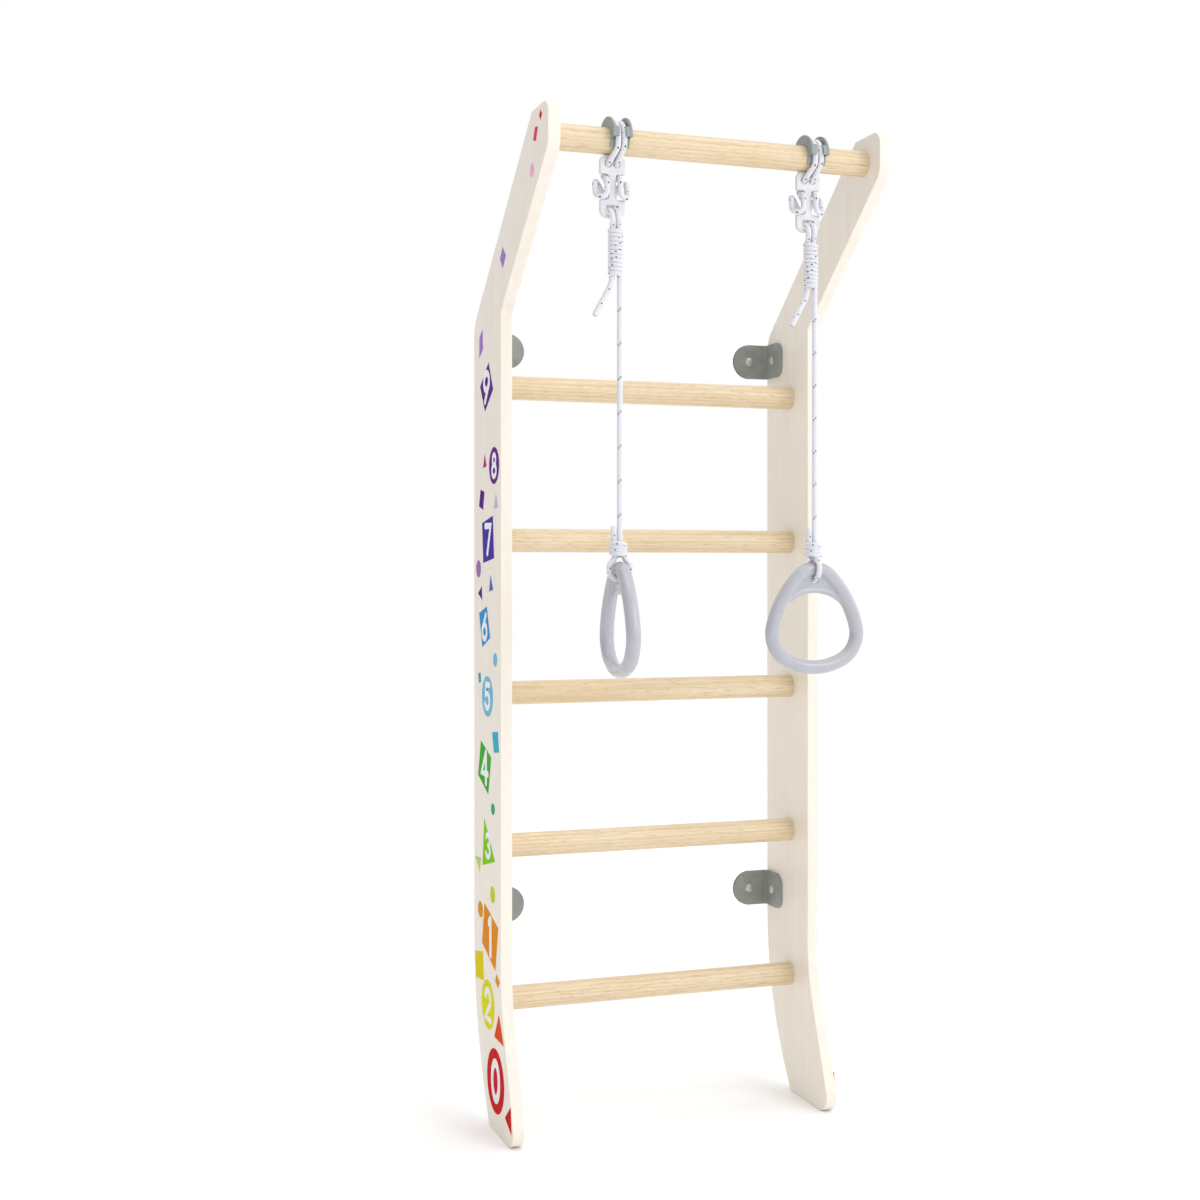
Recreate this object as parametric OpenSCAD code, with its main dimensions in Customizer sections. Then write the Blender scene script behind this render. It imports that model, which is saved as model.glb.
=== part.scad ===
// Wall-mounted climbing ladder for a child's room: two cranked plywood uprights, five
// round rungs, a pull-up bar held out in front, four wall brackets, and two hand rings
// on ropes that hang from saddles on the bar.
// +X points right as seen from the room, +Y points into the wall, +Z points up.
// The origin is the middle of the four wall screws, in the plane of the wall.
// Heights named _h are measured up from the bottom of the feet.

/* [Uprights] */
// Clear width between the two uprights
ladder_w = 470; // [400:1:600]
// Height of the uprights, foot to tip
ladder_h = 1432; // [1380:1:1720]
// Thickness of the plywood
upright_t = 18; // [15:1:24]
// Depth of the straight stretch, wall to front edge
upright_d = 146; // [120:1:176]
// Rise of the cranked arm, from the crank up to the tip
arm_rise = 248; // [212:1:272]
// Slope of the cranked arm above the horizontal, in degrees
crank_slope = 39.6; // [36:0.1:44]
// How far the tip of the arm stands out from the wall
crank_reach = 372; // [350:1:446]
// Height where the back edge starts to lean into the foot
foot_bend_h = 124; // [100:1:150]
// How far the back of the foot stands out from the wall
foot_back = 86; // [60:1:100]
// Lean of the front edge of the foot, in degrees
foot_lean = 20.5; // [10:0.5:24]

/* [Rungs and bar] */
// Distance between rung centres
rung_pitch = 225; // [190:1:232]
// Height of the lowest rung
rung_low_h = 183; // [150:1:200]
// Diameter of a rung
rung_d = 35; // [28:1:42]
// Distance from the wall to the rung centres
rung_y = 83; // [65:1:95]
// Diameter of the pull-up bar
bar_d = 36; // [30:1:43]
// Distance from the wall to the pull-up bar
bar_y = 325; // [320:1:330]
// How far the pull-up bar sits below the tip
bar_drop = 38; // [36:1:52]
// Depth of the blind sockets that the rungs and the bar are glued into
socket_depth = 12; // [8:1:14]

/* [Wall brackets] */
// Height of the lower pair of brackets
bracket_low_h = 304; // [290:1:320]
// Height of the upper pair of brackets
bracket_high_h = 1148; // [1130:1:1155]
// Length of the leg that lies on the wall
wall_leg = 60; // [50:1:72]
// Length of the leg that lies on the upright
side_leg = 58; // [48:1:70]
// Height of a bracket
bracket_h = 54; // [44:1:65]
// Thickness of the bracket plate
bracket_t = 4; // [3:0.5:6]
// Distance of the side screw from the wall
side_screw_y = 26; // [20:1:32]
// Thread diameter of the wall screws
wall_screw_d = 5; // [4:0.5:6]
// Length of the wall screws behind the wall plane
wall_screw_reach = 45; // [30:1:60]
// Thread diameter of the side screws
side_screw_d = 4; // [3:0.5:5]
// Length of the side screws inside the upright
side_screw_reach = 14; // [10:1:14]
// Height of the screws' thread above their plain neck
thread_rise = 0.35; // [0.2:0.05:0.5]
// Diameter of a screw head
screw_head_d = 14; // [11:1:17]
// Height of a screw head's dome
screw_head_h = 4.5; // [3:0.5:6]

/* [Hangers] */
// Place of the left hanger along the bar, from the middle
left_hanger_x = -142; // [-150:1:-120]
// Place of the right hanger along the bar, from the middle
right_hanger_x = 151; // [120:1:160]
// Diameter of the rope
rope_d = 8; // [7:0.5:8]
// Width of a saddle over its two flanges
saddle_w = 27; // [26:0.5:32]
// Thickness of the saddle's shell on the bar
saddle_t = 1.8; // [1.5:0.1:2]
// Thickness of a flange
flange_t = 3; // [2:0.5:3.5]
// How far a flange stands out from the bar
flange_rise = 14.5; // [14:0.5:18]
// Width of a clip tab, flange included
tab_w = 8.5; // [6:0.5:10]
// Thickness of the adjuster plate
adjuster_t = 6; // [5:0.5:7]
// Width of the adjuster plate
adjuster_w = 36; // [34:0.5:38]
// How far the adjuster hangs to the left of its saddle
adjuster_shift = 5; // [0:0.5:6]
// Height of the adjuster plate
adjuster_h = 85; // [84:0.5:88]
// Diameter of the upper knot
upper_knot_d = 21.6; // [21:0.1:25]
// Length of the upper knot
upper_knot_len = 69; // [60:1:80]
// Diameter of the lower knot
lower_knot_d = 25; // [24:0.5:30]
// Length of the lower knot
lower_knot_len = 25; // [20:1:30]

/* [Hand rings] */
// Overall width of a ring
ring_w = 152; // [140:1:182]
// Overall height of a ring
ring_h = 159; // [150:1:190]
// Diameter of the grip
grip_d = 20; // [16:1:22]
// Radius of the grip's centreline at the top
ring_apex_r = 34; // [28:1:40]
// Radius of the grip's centreline at the two lower corners
ring_corner_r = 42; // [36:1:46]
// Radius of the grip's centreline along the sides
ring_side_r = 150; // [130:1:260]
// Height of the corners' centres above the lowest stretch of the centreline
ring_corner_rise = 48; // [47:1:56]
// Thickness of the web under the top of the ring
web_t = 5; // [4:0.5:7]
// Distance from the grip's centreline at the top to the web's lower edge
web_reach = 34; // [32:1:40]
// Radius of the web's lower edge
web_r = 63; // [50:1:80]
// Diameter of the rope hole in the web
ring_hole_d = 11; // [10:0.5:12]
// Turn of the left ring about its rope, in degrees
left_ring_turn = 86; // [-90:1:90]
// Turn of the right ring about its rope, in degrees
right_ring_turn = 0; // [-90:1:90]

/* [Clearances] */
// Gap between a rung or bar and its socket, all round
socket_gap = 0.05; // [0.02:0.01:0.1]
// Gap at the end of a rung or bar in its socket
socket_end_gap = 0.3; // [0.1:0.1:1]
// Gap between a screw and its hole, all round
screw_gap = 0.2; // [0.1:0.05:0.4]
// Gap between pieces that slide or turn on each other
run_gap = 0.3; // [0.2:0.05:0.4]
// Gap between the eye of rope and the grip that it goes round
eye_gap = 0.8; // [0.5:0.1:1.2]

/* [Hidden] */
$fn = 64;
eps = 0.01;

RUNGS = 5;
SIDES = ["left", "right"];
LEVELS = ["lower", "upper"];

PLY = "antiquewhite";
DOWEL = "burlywood";
BRACKET_GREY = "darkslategray";
SADDLE_GREY = "slategray";
ROPE_WHITE = "white";
PLATE_WHITE = "gainsboro";
RING_LILAC = "lightsteelblue";
STEEL = "silver";

// Frame
mount_h = (bracket_low_h + bracket_high_h) / 2;
bracket_hs = [bracket_low_h, bracket_high_h];
crank_h = ladder_h - arm_rise;
bar_h = ladder_h - bar_drop;
wall_screw_x = ladder_w / 2 - wall_leg + bracket_h / 2;
foot_front_bend_h = 197;
foot_front = upright_d + tan(foot_lean) * foot_front_bend_h;
foot_back_bend_r = 450;
foot_front_bend_r = 250;
foot_toe_r = 24;
foot_heel_r = 4;
crank_back_r = 40;
crank_front_r = 12;
tip_under_r = 25;
tip_front_r = 19;
tip_back_r = 8;
bracket_corner_r = 17;
drive_slot = [1.2, 6, 1.6];

// Hangers: depths named _z are measured down from the bar's axis
rope_r = rope_d / 2;
bar_r = bar_d / 2;
saddle_r = bar_r + run_gap + saddle_t;
sling_r = saddle_r + run_gap + rope_r;
strand_x = rope_r + 0.4;
drop_x = 6.2;
flange_r = bar_r + flange_rise;
tab_r = sling_r + rope_r + 0.9;
saddle_wrap = 37;
tab_sweep = 26;
tab_inset = 1;
tab_rim = 0.5;
adjuster_top_z = bar_r + 1;
adjuster_bottom_z = adjuster_top_z + adjuster_h;
top_hole_x = 6.2;
top_hole_z = adjuster_top_z + 12;
top_hole_r = rope_r + 0.9;
notch_top_z = adjuster_top_z + 26;
notch_bottom_z = adjuster_top_z + 60;
adjuster_web_w = 10;
adjuster_top_r = 9;
adjuster_bottom_r = 11;
notch_lip_r = 2;
notch_r = 4;
eyelet_r = [1.5, 5.5];
eyelet_top_z = adjuster_top_z + 68;
eyelet_h = 13;
eyelet_w = 2 * rope_d + 1;
upper_knot_z = 115;
upper_knot_end_r = 2.5;
socket_mouth = 3;
socket_mouth_r = rope_r + run_gap + 0.9;
rope_top_z = upper_knot_z + upper_knot_len - socket_mouth;
lower_knot_z = 539;
lower_knot_shift = 2.2;
lower_knot_end_r = 3.5;
rope_plug = 6;
apex_z = 578;
eye_r = grip_d / 2 + rope_r + eye_gap;
eye_leg = 7.5;
tail_gap_x = rope_d + 0.6;
TUBE_SIDES = 8;
GRIP_SIDES = 12;

// Half of the rope that is laced through the adjuster, as [across, back, up] from the
// middle of the bar: first from the bight behind the plate up to the bar
BIGHT = [[0, 8.5, -56], [4.5, 8.5, -53.5], [6.5, 8.5, -48], [6, 10, -40], [5, 16, -27]];
// then, beyond the turn over the bar, through a top hole, a side notch and the eyelet
LACING = [[5.4, -11.5, -22.5], [6.2, -4, -30], [6.4, 3, -34.5], [7.5, 8, -40], [9.5, 7, -46.5],
    [9.6, 0.5, -50], [9.6, -5.5, -52.5], [9.6, -7.6, -58], [9.6, -7.6, -68], [12, -7.6, -74],
    [17.5, -6, -76.5], [22.2, -1, -74], [22.8, 3.5, -68], [22.8, 4, -59], [21.2, 8, -54.5],
    [16, 12, -56.5], [12, 12.8, -63], [8, 12.5, -71], [5.4, 10, -79], [4.5, 4.5, -87],
    [4.4, -2, -92.5], [4.4, -7.4, -98], [4.4, -6.8, -105], [4.3, -2, -111],
    [4.3, 0, -115]];
// How much of the adjuster's shift the laced rope follows, as [depth, share]
LEAN = [[14, 0], [30, 1], [92, 1], [113, 0]];
// The loose end below the upper knot, from the same point
TAIL = [[-4.8, 0, -184], [-5.4, 0, -187], [-7, 0, -193], [-10.5, -0.5, -201],
    [-15.5, -1, -210], [-21.5, -2, -220], [-27, -3, -229.5], [-31.5, -3.5, -237]];
SHORT_TAIL = [[0, 0, -539], [0, 0, -531], [-0.4, -0.6, -520]];

function unit(v) = v / norm(v);
function level(h) = h - mount_h;
function hanger_x(side) = side == "left" ? left_hanger_x : right_hanger_x;
function ring_turn(side) = side == "left" ? left_ring_turn : right_ring_turn;
function leaning(points) = [for (p = points) p - [adjuster_shift * lookup(-p.z, LEAN), 0, 0]];
function mirrored(points) = [for (i = [len(points) - 1:-1:0]) [-points[i].x, points[i].y, points[i].z]];

// Corner [x, y, r] of an outline between its neighbours, as the points of its arc
function corner(a, b, c) =
    let (p = [b.x, b.y], u = unit([a.x, a.y] - p), v = unit([c.x, c.y] - p),
        half = acos(u * v) / 2, centre = p + unit(u + v) * b.z / sin(half),
        from = p + u * b.z / tan(half) - centre, to = p + v * b.z / tan(half) - centre,
        start = atan2(from.y, from.x), turn = atan2(to.y, to.x) - start,
        sweep = turn > 180 ? turn - 360 : turn < -180 ? turn + 360 : turn,
        steps = max(3, ceil(abs(sweep) / 4)))
    [for (i = [0:steps]) centre + b.z * [cos(start + sweep * i / steps), sin(start + sweep * i / steps)]];
function rounded(points) =
    let (n = len(points))
    [for (i = [0:n - 1]) each corner(points[(i + n - 1) % n], points[i], points[(i + 1) % n])];

// Faces between the rings of a swept tube
function walls(count, sides, closed) = [for (i = [0:count - (closed ? 1 : 2)], k = [0:sides - 1])
    let (here = i * sides, there = (i + 1) % count * sides, next = (k + 1) % sides)
    each [[here + k, there + k, there + next], [here + k, there + next, here + next]]];
function ring_points(centre, a, b, d, sides) = [for (k = [0:sides - 1])
    centre + d / 2 * (cos(360 * k / sides) * a + sin(360 * k / sides) * b)];

// Round tube swept along a route, its rings carried along without twist
function heading(p, i) = unit(p[min(i + 1, len(p) - 1)] - p[max(i - 1, 0)]);
function carried(p, i, n) =
    let (t = heading(p, i), m = unit(n - t * (n * t)))
    i == len(p) - 1 ? [m] : concat([m], carried(p, i + 1, m));
module tube(route, d) {
    normals = carried(route, 0, abs(heading(route, 0).x) < 0.9 ? [1, 0, 0] : [0, 1, 0]);
    last = len(route) - 1;
    caps = [[for (k = [0:TUBE_SIDES - 1]) k],
        [for (k = [TUBE_SIDES - 1:-1:0]) last * TUBE_SIDES + k]];
    polyhedron(
        points = [for (i = [0:last]) each ring_points(route[i], normals[i],
            cross(heading(route, i), normals[i]), d, TUBE_SIDES)],
        faces = concat(walls(last + 1, TUBE_SIDES, false), caps));
}
// Round tube swept around a closed flat outline in the XY plane
module loop_tube(outline, d) {
    n = len(outline);
    polyhedron(
        points = [for (i = [0:n - 1])
            let (t = unit(outline[(i + 1) % n] - outline[(i + n - 1) % n]), c = outline[i])
            each ring_points([c.x, c.y, 0], [t.y, -t.x, 0], [0, 0, -1], d, GRIP_SIDES)],
        faces = walls(n, GRIP_SIDES, true));
}

// Where things sit
module at_hanger(side) translate([hanger_x(side), -bar_y, level(bar_h)]) children();
module at_rope(side) at_hanger(side) translate([drop_x, 0, 0]) children();
// Sweep of an outline around the bar, from an angle past straight down at the front
module bar_wrap(start, sweep)
    rotate([0, 90, 0]) rotate([0, 0, start]) rotate_extrude(angle = sweep) children();

// Uprights
module side_outline() {
    arm_y = arm_rise / tan(crank_slope);
    arm_h = crank_h + (crank_reach - upright_d) * tan(crank_slope);
    polygon(rounded([
        [0, foot_bend_h, foot_back_bend_r],
        [-foot_back, 0, foot_heel_r],
        [-foot_front, 0, foot_toe_r],
        [-upright_d, foot_front_bend_h, foot_front_bend_r],
        [-upright_d, crank_h, crank_front_r],
        [-crank_reach, arm_h, tip_under_r],
        [-crank_reach, ladder_h, tip_front_r],
        [-arm_y, ladder_h, tip_back_r],
        [0, crank_h, crank_back_r]]));
}
module socket(d, y, h, depth)
    translate([ladder_w / 2 - eps, -y, h]) rotate([0, 90, 0]) cylinder(h = depth + eps, d = d);
module upright(side) color(PLY) mirror([side == "left" ? 1 : 0, 0, 0]) translate([0, 0, -mount_h])
    difference() {
        translate([ladder_w / 2, 0, 0]) rotate([90, 0, 90]) linear_extrude(upright_t) side_outline();
        for (i = [0:RUNGS - 1])
            socket(rung_d + 2 * socket_gap, rung_y, rung_low_h + i * rung_pitch, socket_depth);
        socket(bar_d + 2 * socket_gap, bar_y, bar_h, socket_depth);
        for (h = bracket_hs)
            socket(side_screw_d + 2 * screw_gap, side_screw_y, h, side_screw_reach + socket_end_gap);
    }

// Rungs, the first at the top, and the pull-up bar
module round_bar(d, y, h) color(DOWEL) translate([0, -y, level(h)]) rotate([0, 90, 0])
    cylinder(h = ladder_w + 2 * (socket_depth - socket_end_gap), d = d, center = true);
module rung(i) round_bar(rung_d, rung_y, rung_low_h + (RUNGS - i) * rung_pitch);
module top_bar() round_bar(bar_d, bar_y, bar_h);

// Brackets: one leg on the wall with a round end, one on the inner face of the upright
module bracket_profile(length, round_r) polygon(rounded([
    [0, -bracket_h / 2, eps], [length, -bracket_h / 2, round_r],
    [length, bracket_h / 2, round_r], [0, bracket_h / 2, eps]]));
module bracket(side, h) color(BRACKET_GREY) mirror([side == "left" ? 1 : 0, 0, 0])
    translate([ladder_w / 2, 0, level(h)]) difference() {
        union() {
            rotate([90, 0, 0]) linear_extrude(bracket_t) difference() {
                union() {
                    translate([-wall_leg + bracket_h / 2, 0]) circle(d = bracket_h);
                    translate([-wall_leg + bracket_h / 2, -bracket_h / 2])
                        square([wall_leg - bracket_h / 2, bracket_h]);
                }
                translate([wall_screw_x - ladder_w / 2, 0]) circle(d = wall_screw_d + 2 * screw_gap);
            }
            rotate([0, -90, 0]) linear_extrude(bracket_t) rotate(-90)
                bracket_profile(side_leg, bracket_corner_r);
        }
        translate([-bracket_t - eps, -side_screw_y, 0]) rotate([0, 90, 0])
            cylinder(h = bracket_t + 2 * eps, d = side_screw_d + 2 * screw_gap);
    }

// Screw with its head's seat at the origin and its shank along +Z
module screw(thread_d, reach) {
    dome_r = (pow(screw_head_d / 2, 2) + pow(screw_head_h, 2)) / (2 * screw_head_h);
    cylinder(h = 2 * bracket_t, d = thread_d - 2 * thread_rise);
    translate([0, 0, bracket_t]) cylinder(h = reach, d = thread_d);
    difference() {
        intersection() {
            translate([0, 0, dome_r - screw_head_h]) sphere(dome_r);
            translate([0, 0, -screw_head_h]) cylinder(h = screw_head_h, d = screw_head_d);
        }
        for (turn = [0, 90]) rotate(turn) translate([0, 0, -screw_head_h]) cube(drive_slot, center = true);
    }
}
module side_screws() color(STEEL) for (sign = [-1, 1], h = bracket_hs)
    translate([sign * (ladder_w / 2 - bracket_t), -side_screw_y, level(h)]) rotate([0, sign * 90, 0])
        screw(side_screw_d, side_screw_reach);
module wall_screws() color(STEEL) for (sign = [-1, 1], h = bracket_hs)
    translate([sign * wall_screw_x, -bracket_t, level(h)]) rotate([-90, 0, 0])
        screw(wall_screw_d, wall_screw_reach);

// Saddle: a shell clipped on the bar, two flanges beside the rope, tabs over its edges
module saddle(side) color(SADDLE_GREY) at_hanger(side) {
    shell_in = bar_r + run_gap;
    shell_mid = shell_in + saddle_t / 2;
    bar_wrap(90 - saddle_wrap, 180 + 2 * saddle_wrap)
        translate([shell_in, -saddle_w / 2]) square([saddle_t, saddle_w]);
    for (flip = [0, 1]) mirror([flip, 0, 0]) {
        bar_wrap(90, 180) translate([shell_mid, saddle_w / 2 - flange_t])
            square([flange_r - shell_mid, flange_t]);
        for (start = [90 + tab_inset, 270 - tab_inset - tab_sweep])
            bar_wrap(start, tab_sweep) translate([tab_r, saddle_w / 2 - tab_w])
                square([flange_r - tab_rim - tab_r, tab_w - flange_t / 2]);
    }
}

// Adjuster: a bobbin-shaped plate with two holes above and an eyelet below
module adjuster(side) color(PLATE_WHITE) at_hanger(side)
    translate([-adjuster_shift, 0, 0]) rotate([90, 0, 0])
    linear_extrude(adjuster_t, center = true) difference() {
        polygon(rounded([
            [-adjuster_w / 2, -adjuster_top_z, adjuster_top_r],
            [adjuster_w / 2, -adjuster_top_z, adjuster_top_r],
            [adjuster_w / 2, -notch_top_z, notch_lip_r],
            [adjuster_web_w / 2, -notch_top_z, notch_r],
            [adjuster_web_w / 2, -notch_bottom_z, notch_r],
            [adjuster_w / 2, -notch_bottom_z, notch_lip_r],
            [adjuster_w / 2, -adjuster_bottom_z, adjuster_bottom_r],
            [-adjuster_w / 2, -adjuster_bottom_z, adjuster_bottom_r],
            [-adjuster_w / 2, -notch_bottom_z, notch_lip_r],
            [-adjuster_web_w / 2, -notch_bottom_z, notch_r],
            [-adjuster_web_w / 2, -notch_top_z, notch_r],
            [-adjuster_w / 2, -notch_top_z, notch_lip_r]]));
        for (sign = [-1, 1]) translate([sign * top_hole_x, -top_hole_z]) circle(top_hole_r);
        polygon(rounded([
            [-eyelet_w / 2, -eyelet_top_z, eyelet_r[0]],
            [eyelet_w / 2, -eyelet_top_z, eyelet_r[0]],
            [eyelet_w / 2, -eyelet_top_z - eyelet_h, eyelet_r[1]],
            [-eyelet_w / 2, -eyelet_top_z - eyelet_h, eyelet_r[1]]]));
    }

// Ropes
function over_bar() = [for (a = [-20:11:222])
    [strand_x, sling_r * cos(a), sling_r * sin(a)]];
function sling_half() = concat([for (i = [1:len(BIGHT) - 1]) BIGHT[i]], over_bar(), LACING);
module sling(side) color(ROPE_WHITE) at_hanger(side)
    tube(leaning(concat(mirrored(sling_half()), [BIGHT[0]], sling_half())), rope_d);
module tail(side) color(ROPE_WHITE) at_hanger(side) tube(TAIL, rope_d);
module drop_rope(side) color(ROPE_WHITE) at_rope(side) {
    translate([0, 0, -rope_top_z]) sphere(rope_r);
    translate([0, 0, -lower_knot_z - rope_plug])
        cylinder(h = lower_knot_z + rope_plug - rope_top_z, d = rope_d);
}
module short_tail(side) color(ROPE_WHITE) at_rope(side) translate([-tail_gap_x, 0, 0])
    tube(SHORT_TAIL, rope_d);
module eye(side) color(ROPE_WHITE) at_rope(side) rotate([0, 0, ring_turn(side)]) {
    knot_end = lower_knot_z + lower_knot_len;
    leg = [[0, eye_leg, -knot_end], [0, eye_leg + 3.2, -knot_end - 4], [0, eye_r - 0.6, -knot_end - 9]];
    turn = [for (i = [0:8]) [0, eye_r * cos(22.5 * i), -apex_z - eye_r * sin(22.5 * i)]];
    back = [for (i = [2:-1:0]) [0, -leg[i].y, leg[i].z]];
    tube(concat(leg, turn, back), rope_d);
}

// Knots: closed barrels of the outer shape of the wraps
module barrel(d, length, end_r) rotate_extrude() intersection() {
    polygon(rounded([
        [-d / 2, -length, end_r], [d / 2, -length, end_r],
        [d / 2, 0, end_r], [-d / 2, 0, end_r]]));
    translate([0, -length]) square([d / 2, length]);
}
module upper_knot(side) color(ROPE_WHITE) at_hanger(side) difference() {
    translate([0, 0, -upper_knot_z]) barrel(upper_knot_d, upper_knot_len, upper_knot_end_r);
    translate([drop_x, 0, -rope_top_z]) {
        sphere(rope_r + run_gap);
        translate([0, 0, -socket_mouth - eps])
            cylinder(h = socket_mouth + eps, r1 = socket_mouth_r, r2 = rope_r + run_gap);
    }
}
module lower_knot(side) color(ROPE_WHITE) at_rope(side) difference() {
    translate([-lower_knot_shift, 0, -lower_knot_z]) barrel(lower_knot_d, lower_knot_len, lower_knot_end_r);
    translate([0, 0, -lower_knot_z - rope_plug - run_gap])
        cylinder(h = rope_plug + run_gap + eps, r = rope_r + run_gap);
}

// Hand ring, drawn upright with the grip's centreline at the top of the ring at the origin
apex_c = [0, -ring_apex_r];
ring_low = ring_h - grip_d;
corner_c = [ring_w / 2 - grip_d / 2 - ring_corner_r, ring_corner_rise - ring_low];
bottom_r = (pow(corner_c.x, 2) + pow(ring_corner_rise, 2) - pow(ring_corner_r, 2))
    / (2 * (ring_corner_rise - ring_corner_r));
bottom_c = [0, bottom_r - ring_low];
// Centre of the side arc: the point at two known distances from the apex and corner centres
side_c =
    let (to_apex = ring_side_r - ring_apex_r, to_corner = ring_side_r - ring_corner_r,
        gap = corner_c - apex_c, d = norm(gap),
        along = (to_apex * to_apex - to_corner * to_corner + d * d) / (2 * d),
        off = sqrt(to_apex * to_apex - along * along))
    apex_c + along * gap / d + off * [gap.y, -gap.x] / d;
function angle_to(a, b) = atan2(b.y - a.y, b.x - a.x);
function arc(centre, r, from, to, steps) = [for (i = [0:steps - 1])
    let (a = from + (to - from) * i / steps) centre + r * [cos(a), sin(a)]];
corner_from = angle_to(bottom_c, corner_c);
corner_to = angle_to(side_c, corner_c);
apex_from = angle_to(side_c, apex_c);
// The right half of the grip's centreline, in two stretches, from the bottom to the top
low_half = concat(arc(bottom_c, bottom_r, -90, corner_from, 3),
    arc(corner_c, ring_corner_r, corner_from, corner_to, 8));
high_half = concat(arc(side_c, ring_side_r, corner_to, apex_from, 4),
    arc(apex_c, ring_apex_r, apex_from, 90, 6), [[0, 0]]);
function flipped(points) = [for (i = [len(points) - 2:-1:0]) [-points[i].x, points[i].y]];
module ring_shape() {
    loop_tube(concat(low_half, high_half, flipped(high_half),
        [for (i = [len(low_half) - 1:-1:1]) [-low_half[i].x, low_half[i].y]]), grip_d);
    linear_extrude(web_t, center = true) difference() {
        polygon(concat(high_half, flipped(high_half)));
        translate([0, -web_reach - web_r]) circle(web_r);
        translate([0, -eye_r]) circle(d = ring_hole_d);
    }
}
module ring(side) color(RING_LILAC) at_rope(side) translate([0, 0, -apex_z])
    rotate([0, 0, ring_turn(side)]) rotate([90, 0, 0]) ring_shape();

// The pieces
for (side = SIDES) upright(side);
top_bar();
for (i = [1:RUNGS]) rung(i);
for (k = [0, 1], side = SIDES)
    bracket(side, bracket_hs[k]);
side_screws();
wall_screws();
for (side = SIDES) {
    saddle(side);
    sling(side);
    adjuster(side);
    upper_knot(side);
    tail(side);
    drop_rope(side);
    lower_knot(side);
    short_tail(side);
    eye(side);
    ring(side);
}
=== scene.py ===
"""Looks of a wall-mounted climbing ladder with a pull-up bar and two hand rings.

Everything is in metres in the row frame: +X right, +Y into the wall, +Z up.
"""
import math

import bmesh
import bpy
import numpy as np
from mathutils import Matrix, Vector


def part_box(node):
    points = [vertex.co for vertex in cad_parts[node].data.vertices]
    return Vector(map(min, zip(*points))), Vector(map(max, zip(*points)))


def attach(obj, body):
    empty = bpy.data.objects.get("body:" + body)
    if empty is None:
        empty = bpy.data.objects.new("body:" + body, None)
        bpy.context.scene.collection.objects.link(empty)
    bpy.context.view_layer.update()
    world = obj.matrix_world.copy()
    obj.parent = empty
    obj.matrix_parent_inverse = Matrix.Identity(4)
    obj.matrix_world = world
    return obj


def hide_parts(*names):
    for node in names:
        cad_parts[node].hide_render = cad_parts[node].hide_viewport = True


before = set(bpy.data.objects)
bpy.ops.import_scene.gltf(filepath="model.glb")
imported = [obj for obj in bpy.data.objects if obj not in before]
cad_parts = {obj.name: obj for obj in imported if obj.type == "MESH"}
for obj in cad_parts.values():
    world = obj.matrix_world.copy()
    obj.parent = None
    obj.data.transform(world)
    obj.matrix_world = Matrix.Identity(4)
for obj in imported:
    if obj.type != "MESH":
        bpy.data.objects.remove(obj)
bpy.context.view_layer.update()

MM = 0.001
scene = bpy.context.scene
SIDES = ("left", "right")

# ---- places from the frame

UPRIGHT_LOW, UPRIGHT_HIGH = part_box("right_upright")
BAR_LOW, BAR_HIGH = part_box("top_bar")
BAR_MID = (BAR_LOW + BAR_HIGH) / 2
BAR_R = (BAR_HIGH.z - BAR_LOW.z) / 2
INNER_X = UPRIGHT_LOW.x
OUTER_X = UPRIGHT_HIGH.x
UPRIGHT_T = OUTER_X - INNER_X
FOOT_Z = UPRIGHT_LOW.z


def middle(node):
    low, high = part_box(node)
    return (low + high) / 2


HANGER_X = {side: middle(side + "_saddle").x for side in SIDES}
ROPE_X = {side: middle(side + "_drop_rope").x for side in SIDES}
ROPE_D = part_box("left_drop_rope")[1].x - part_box("left_drop_rope")[0].x
ROPE_R = ROPE_D / 2
RING_TURN = {"left": math.radians(86), "right": 0.0}


def from_axis(x, points):
    """Points given in millimetres from the bar's axis at a place x along it."""
    place = Vector((x, BAR_MID.y, BAR_MID.z))
    return [place + Vector(p) * MM for p in points]


# ---- camera

CAMERA_PLACE = (-0.904, -2.440, 0.0893)
CAMERA_YAW = 19.28
CAMERA_LENS = 49.8
HORIZON_SHIFT = -0.0256


def make_camera():
    data = bpy.data.cameras.new("camera")
    data.sensor_width = 36
    data.lens = CAMERA_LENS
    data.shift_y = HORIZON_SHIFT
    data.clip_start = 0.01
    camera = bpy.data.objects.new("camera", data)
    camera.location = CAMERA_PLACE
    camera.rotation_euler = (math.pi / 2, 0, -math.radians(CAMERA_YAW))
    scene.collection.objects.link(camera)
    scene.camera = camera


make_camera()

# ---- node materials


class Tree:
    """A node tree and a short way to add nodes to it."""

    def __init__(self, owner):
        owner.use_nodes = True
        self.tree = owner.node_tree

    def add(self, kind, inputs=(), **settings):
        node = self.tree.nodes.new(kind)
        for key, value in settings.items():
            setattr(node, key, value)
        for key, value in dict(inputs).items():
            self.put(node.inputs[key], value)
        return node

    def put(self, socket, value):
        if isinstance(value, bpy.types.NodeSocket):
            self.tree.links.new(value, socket)
        else:
            socket.default_value = value


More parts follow.
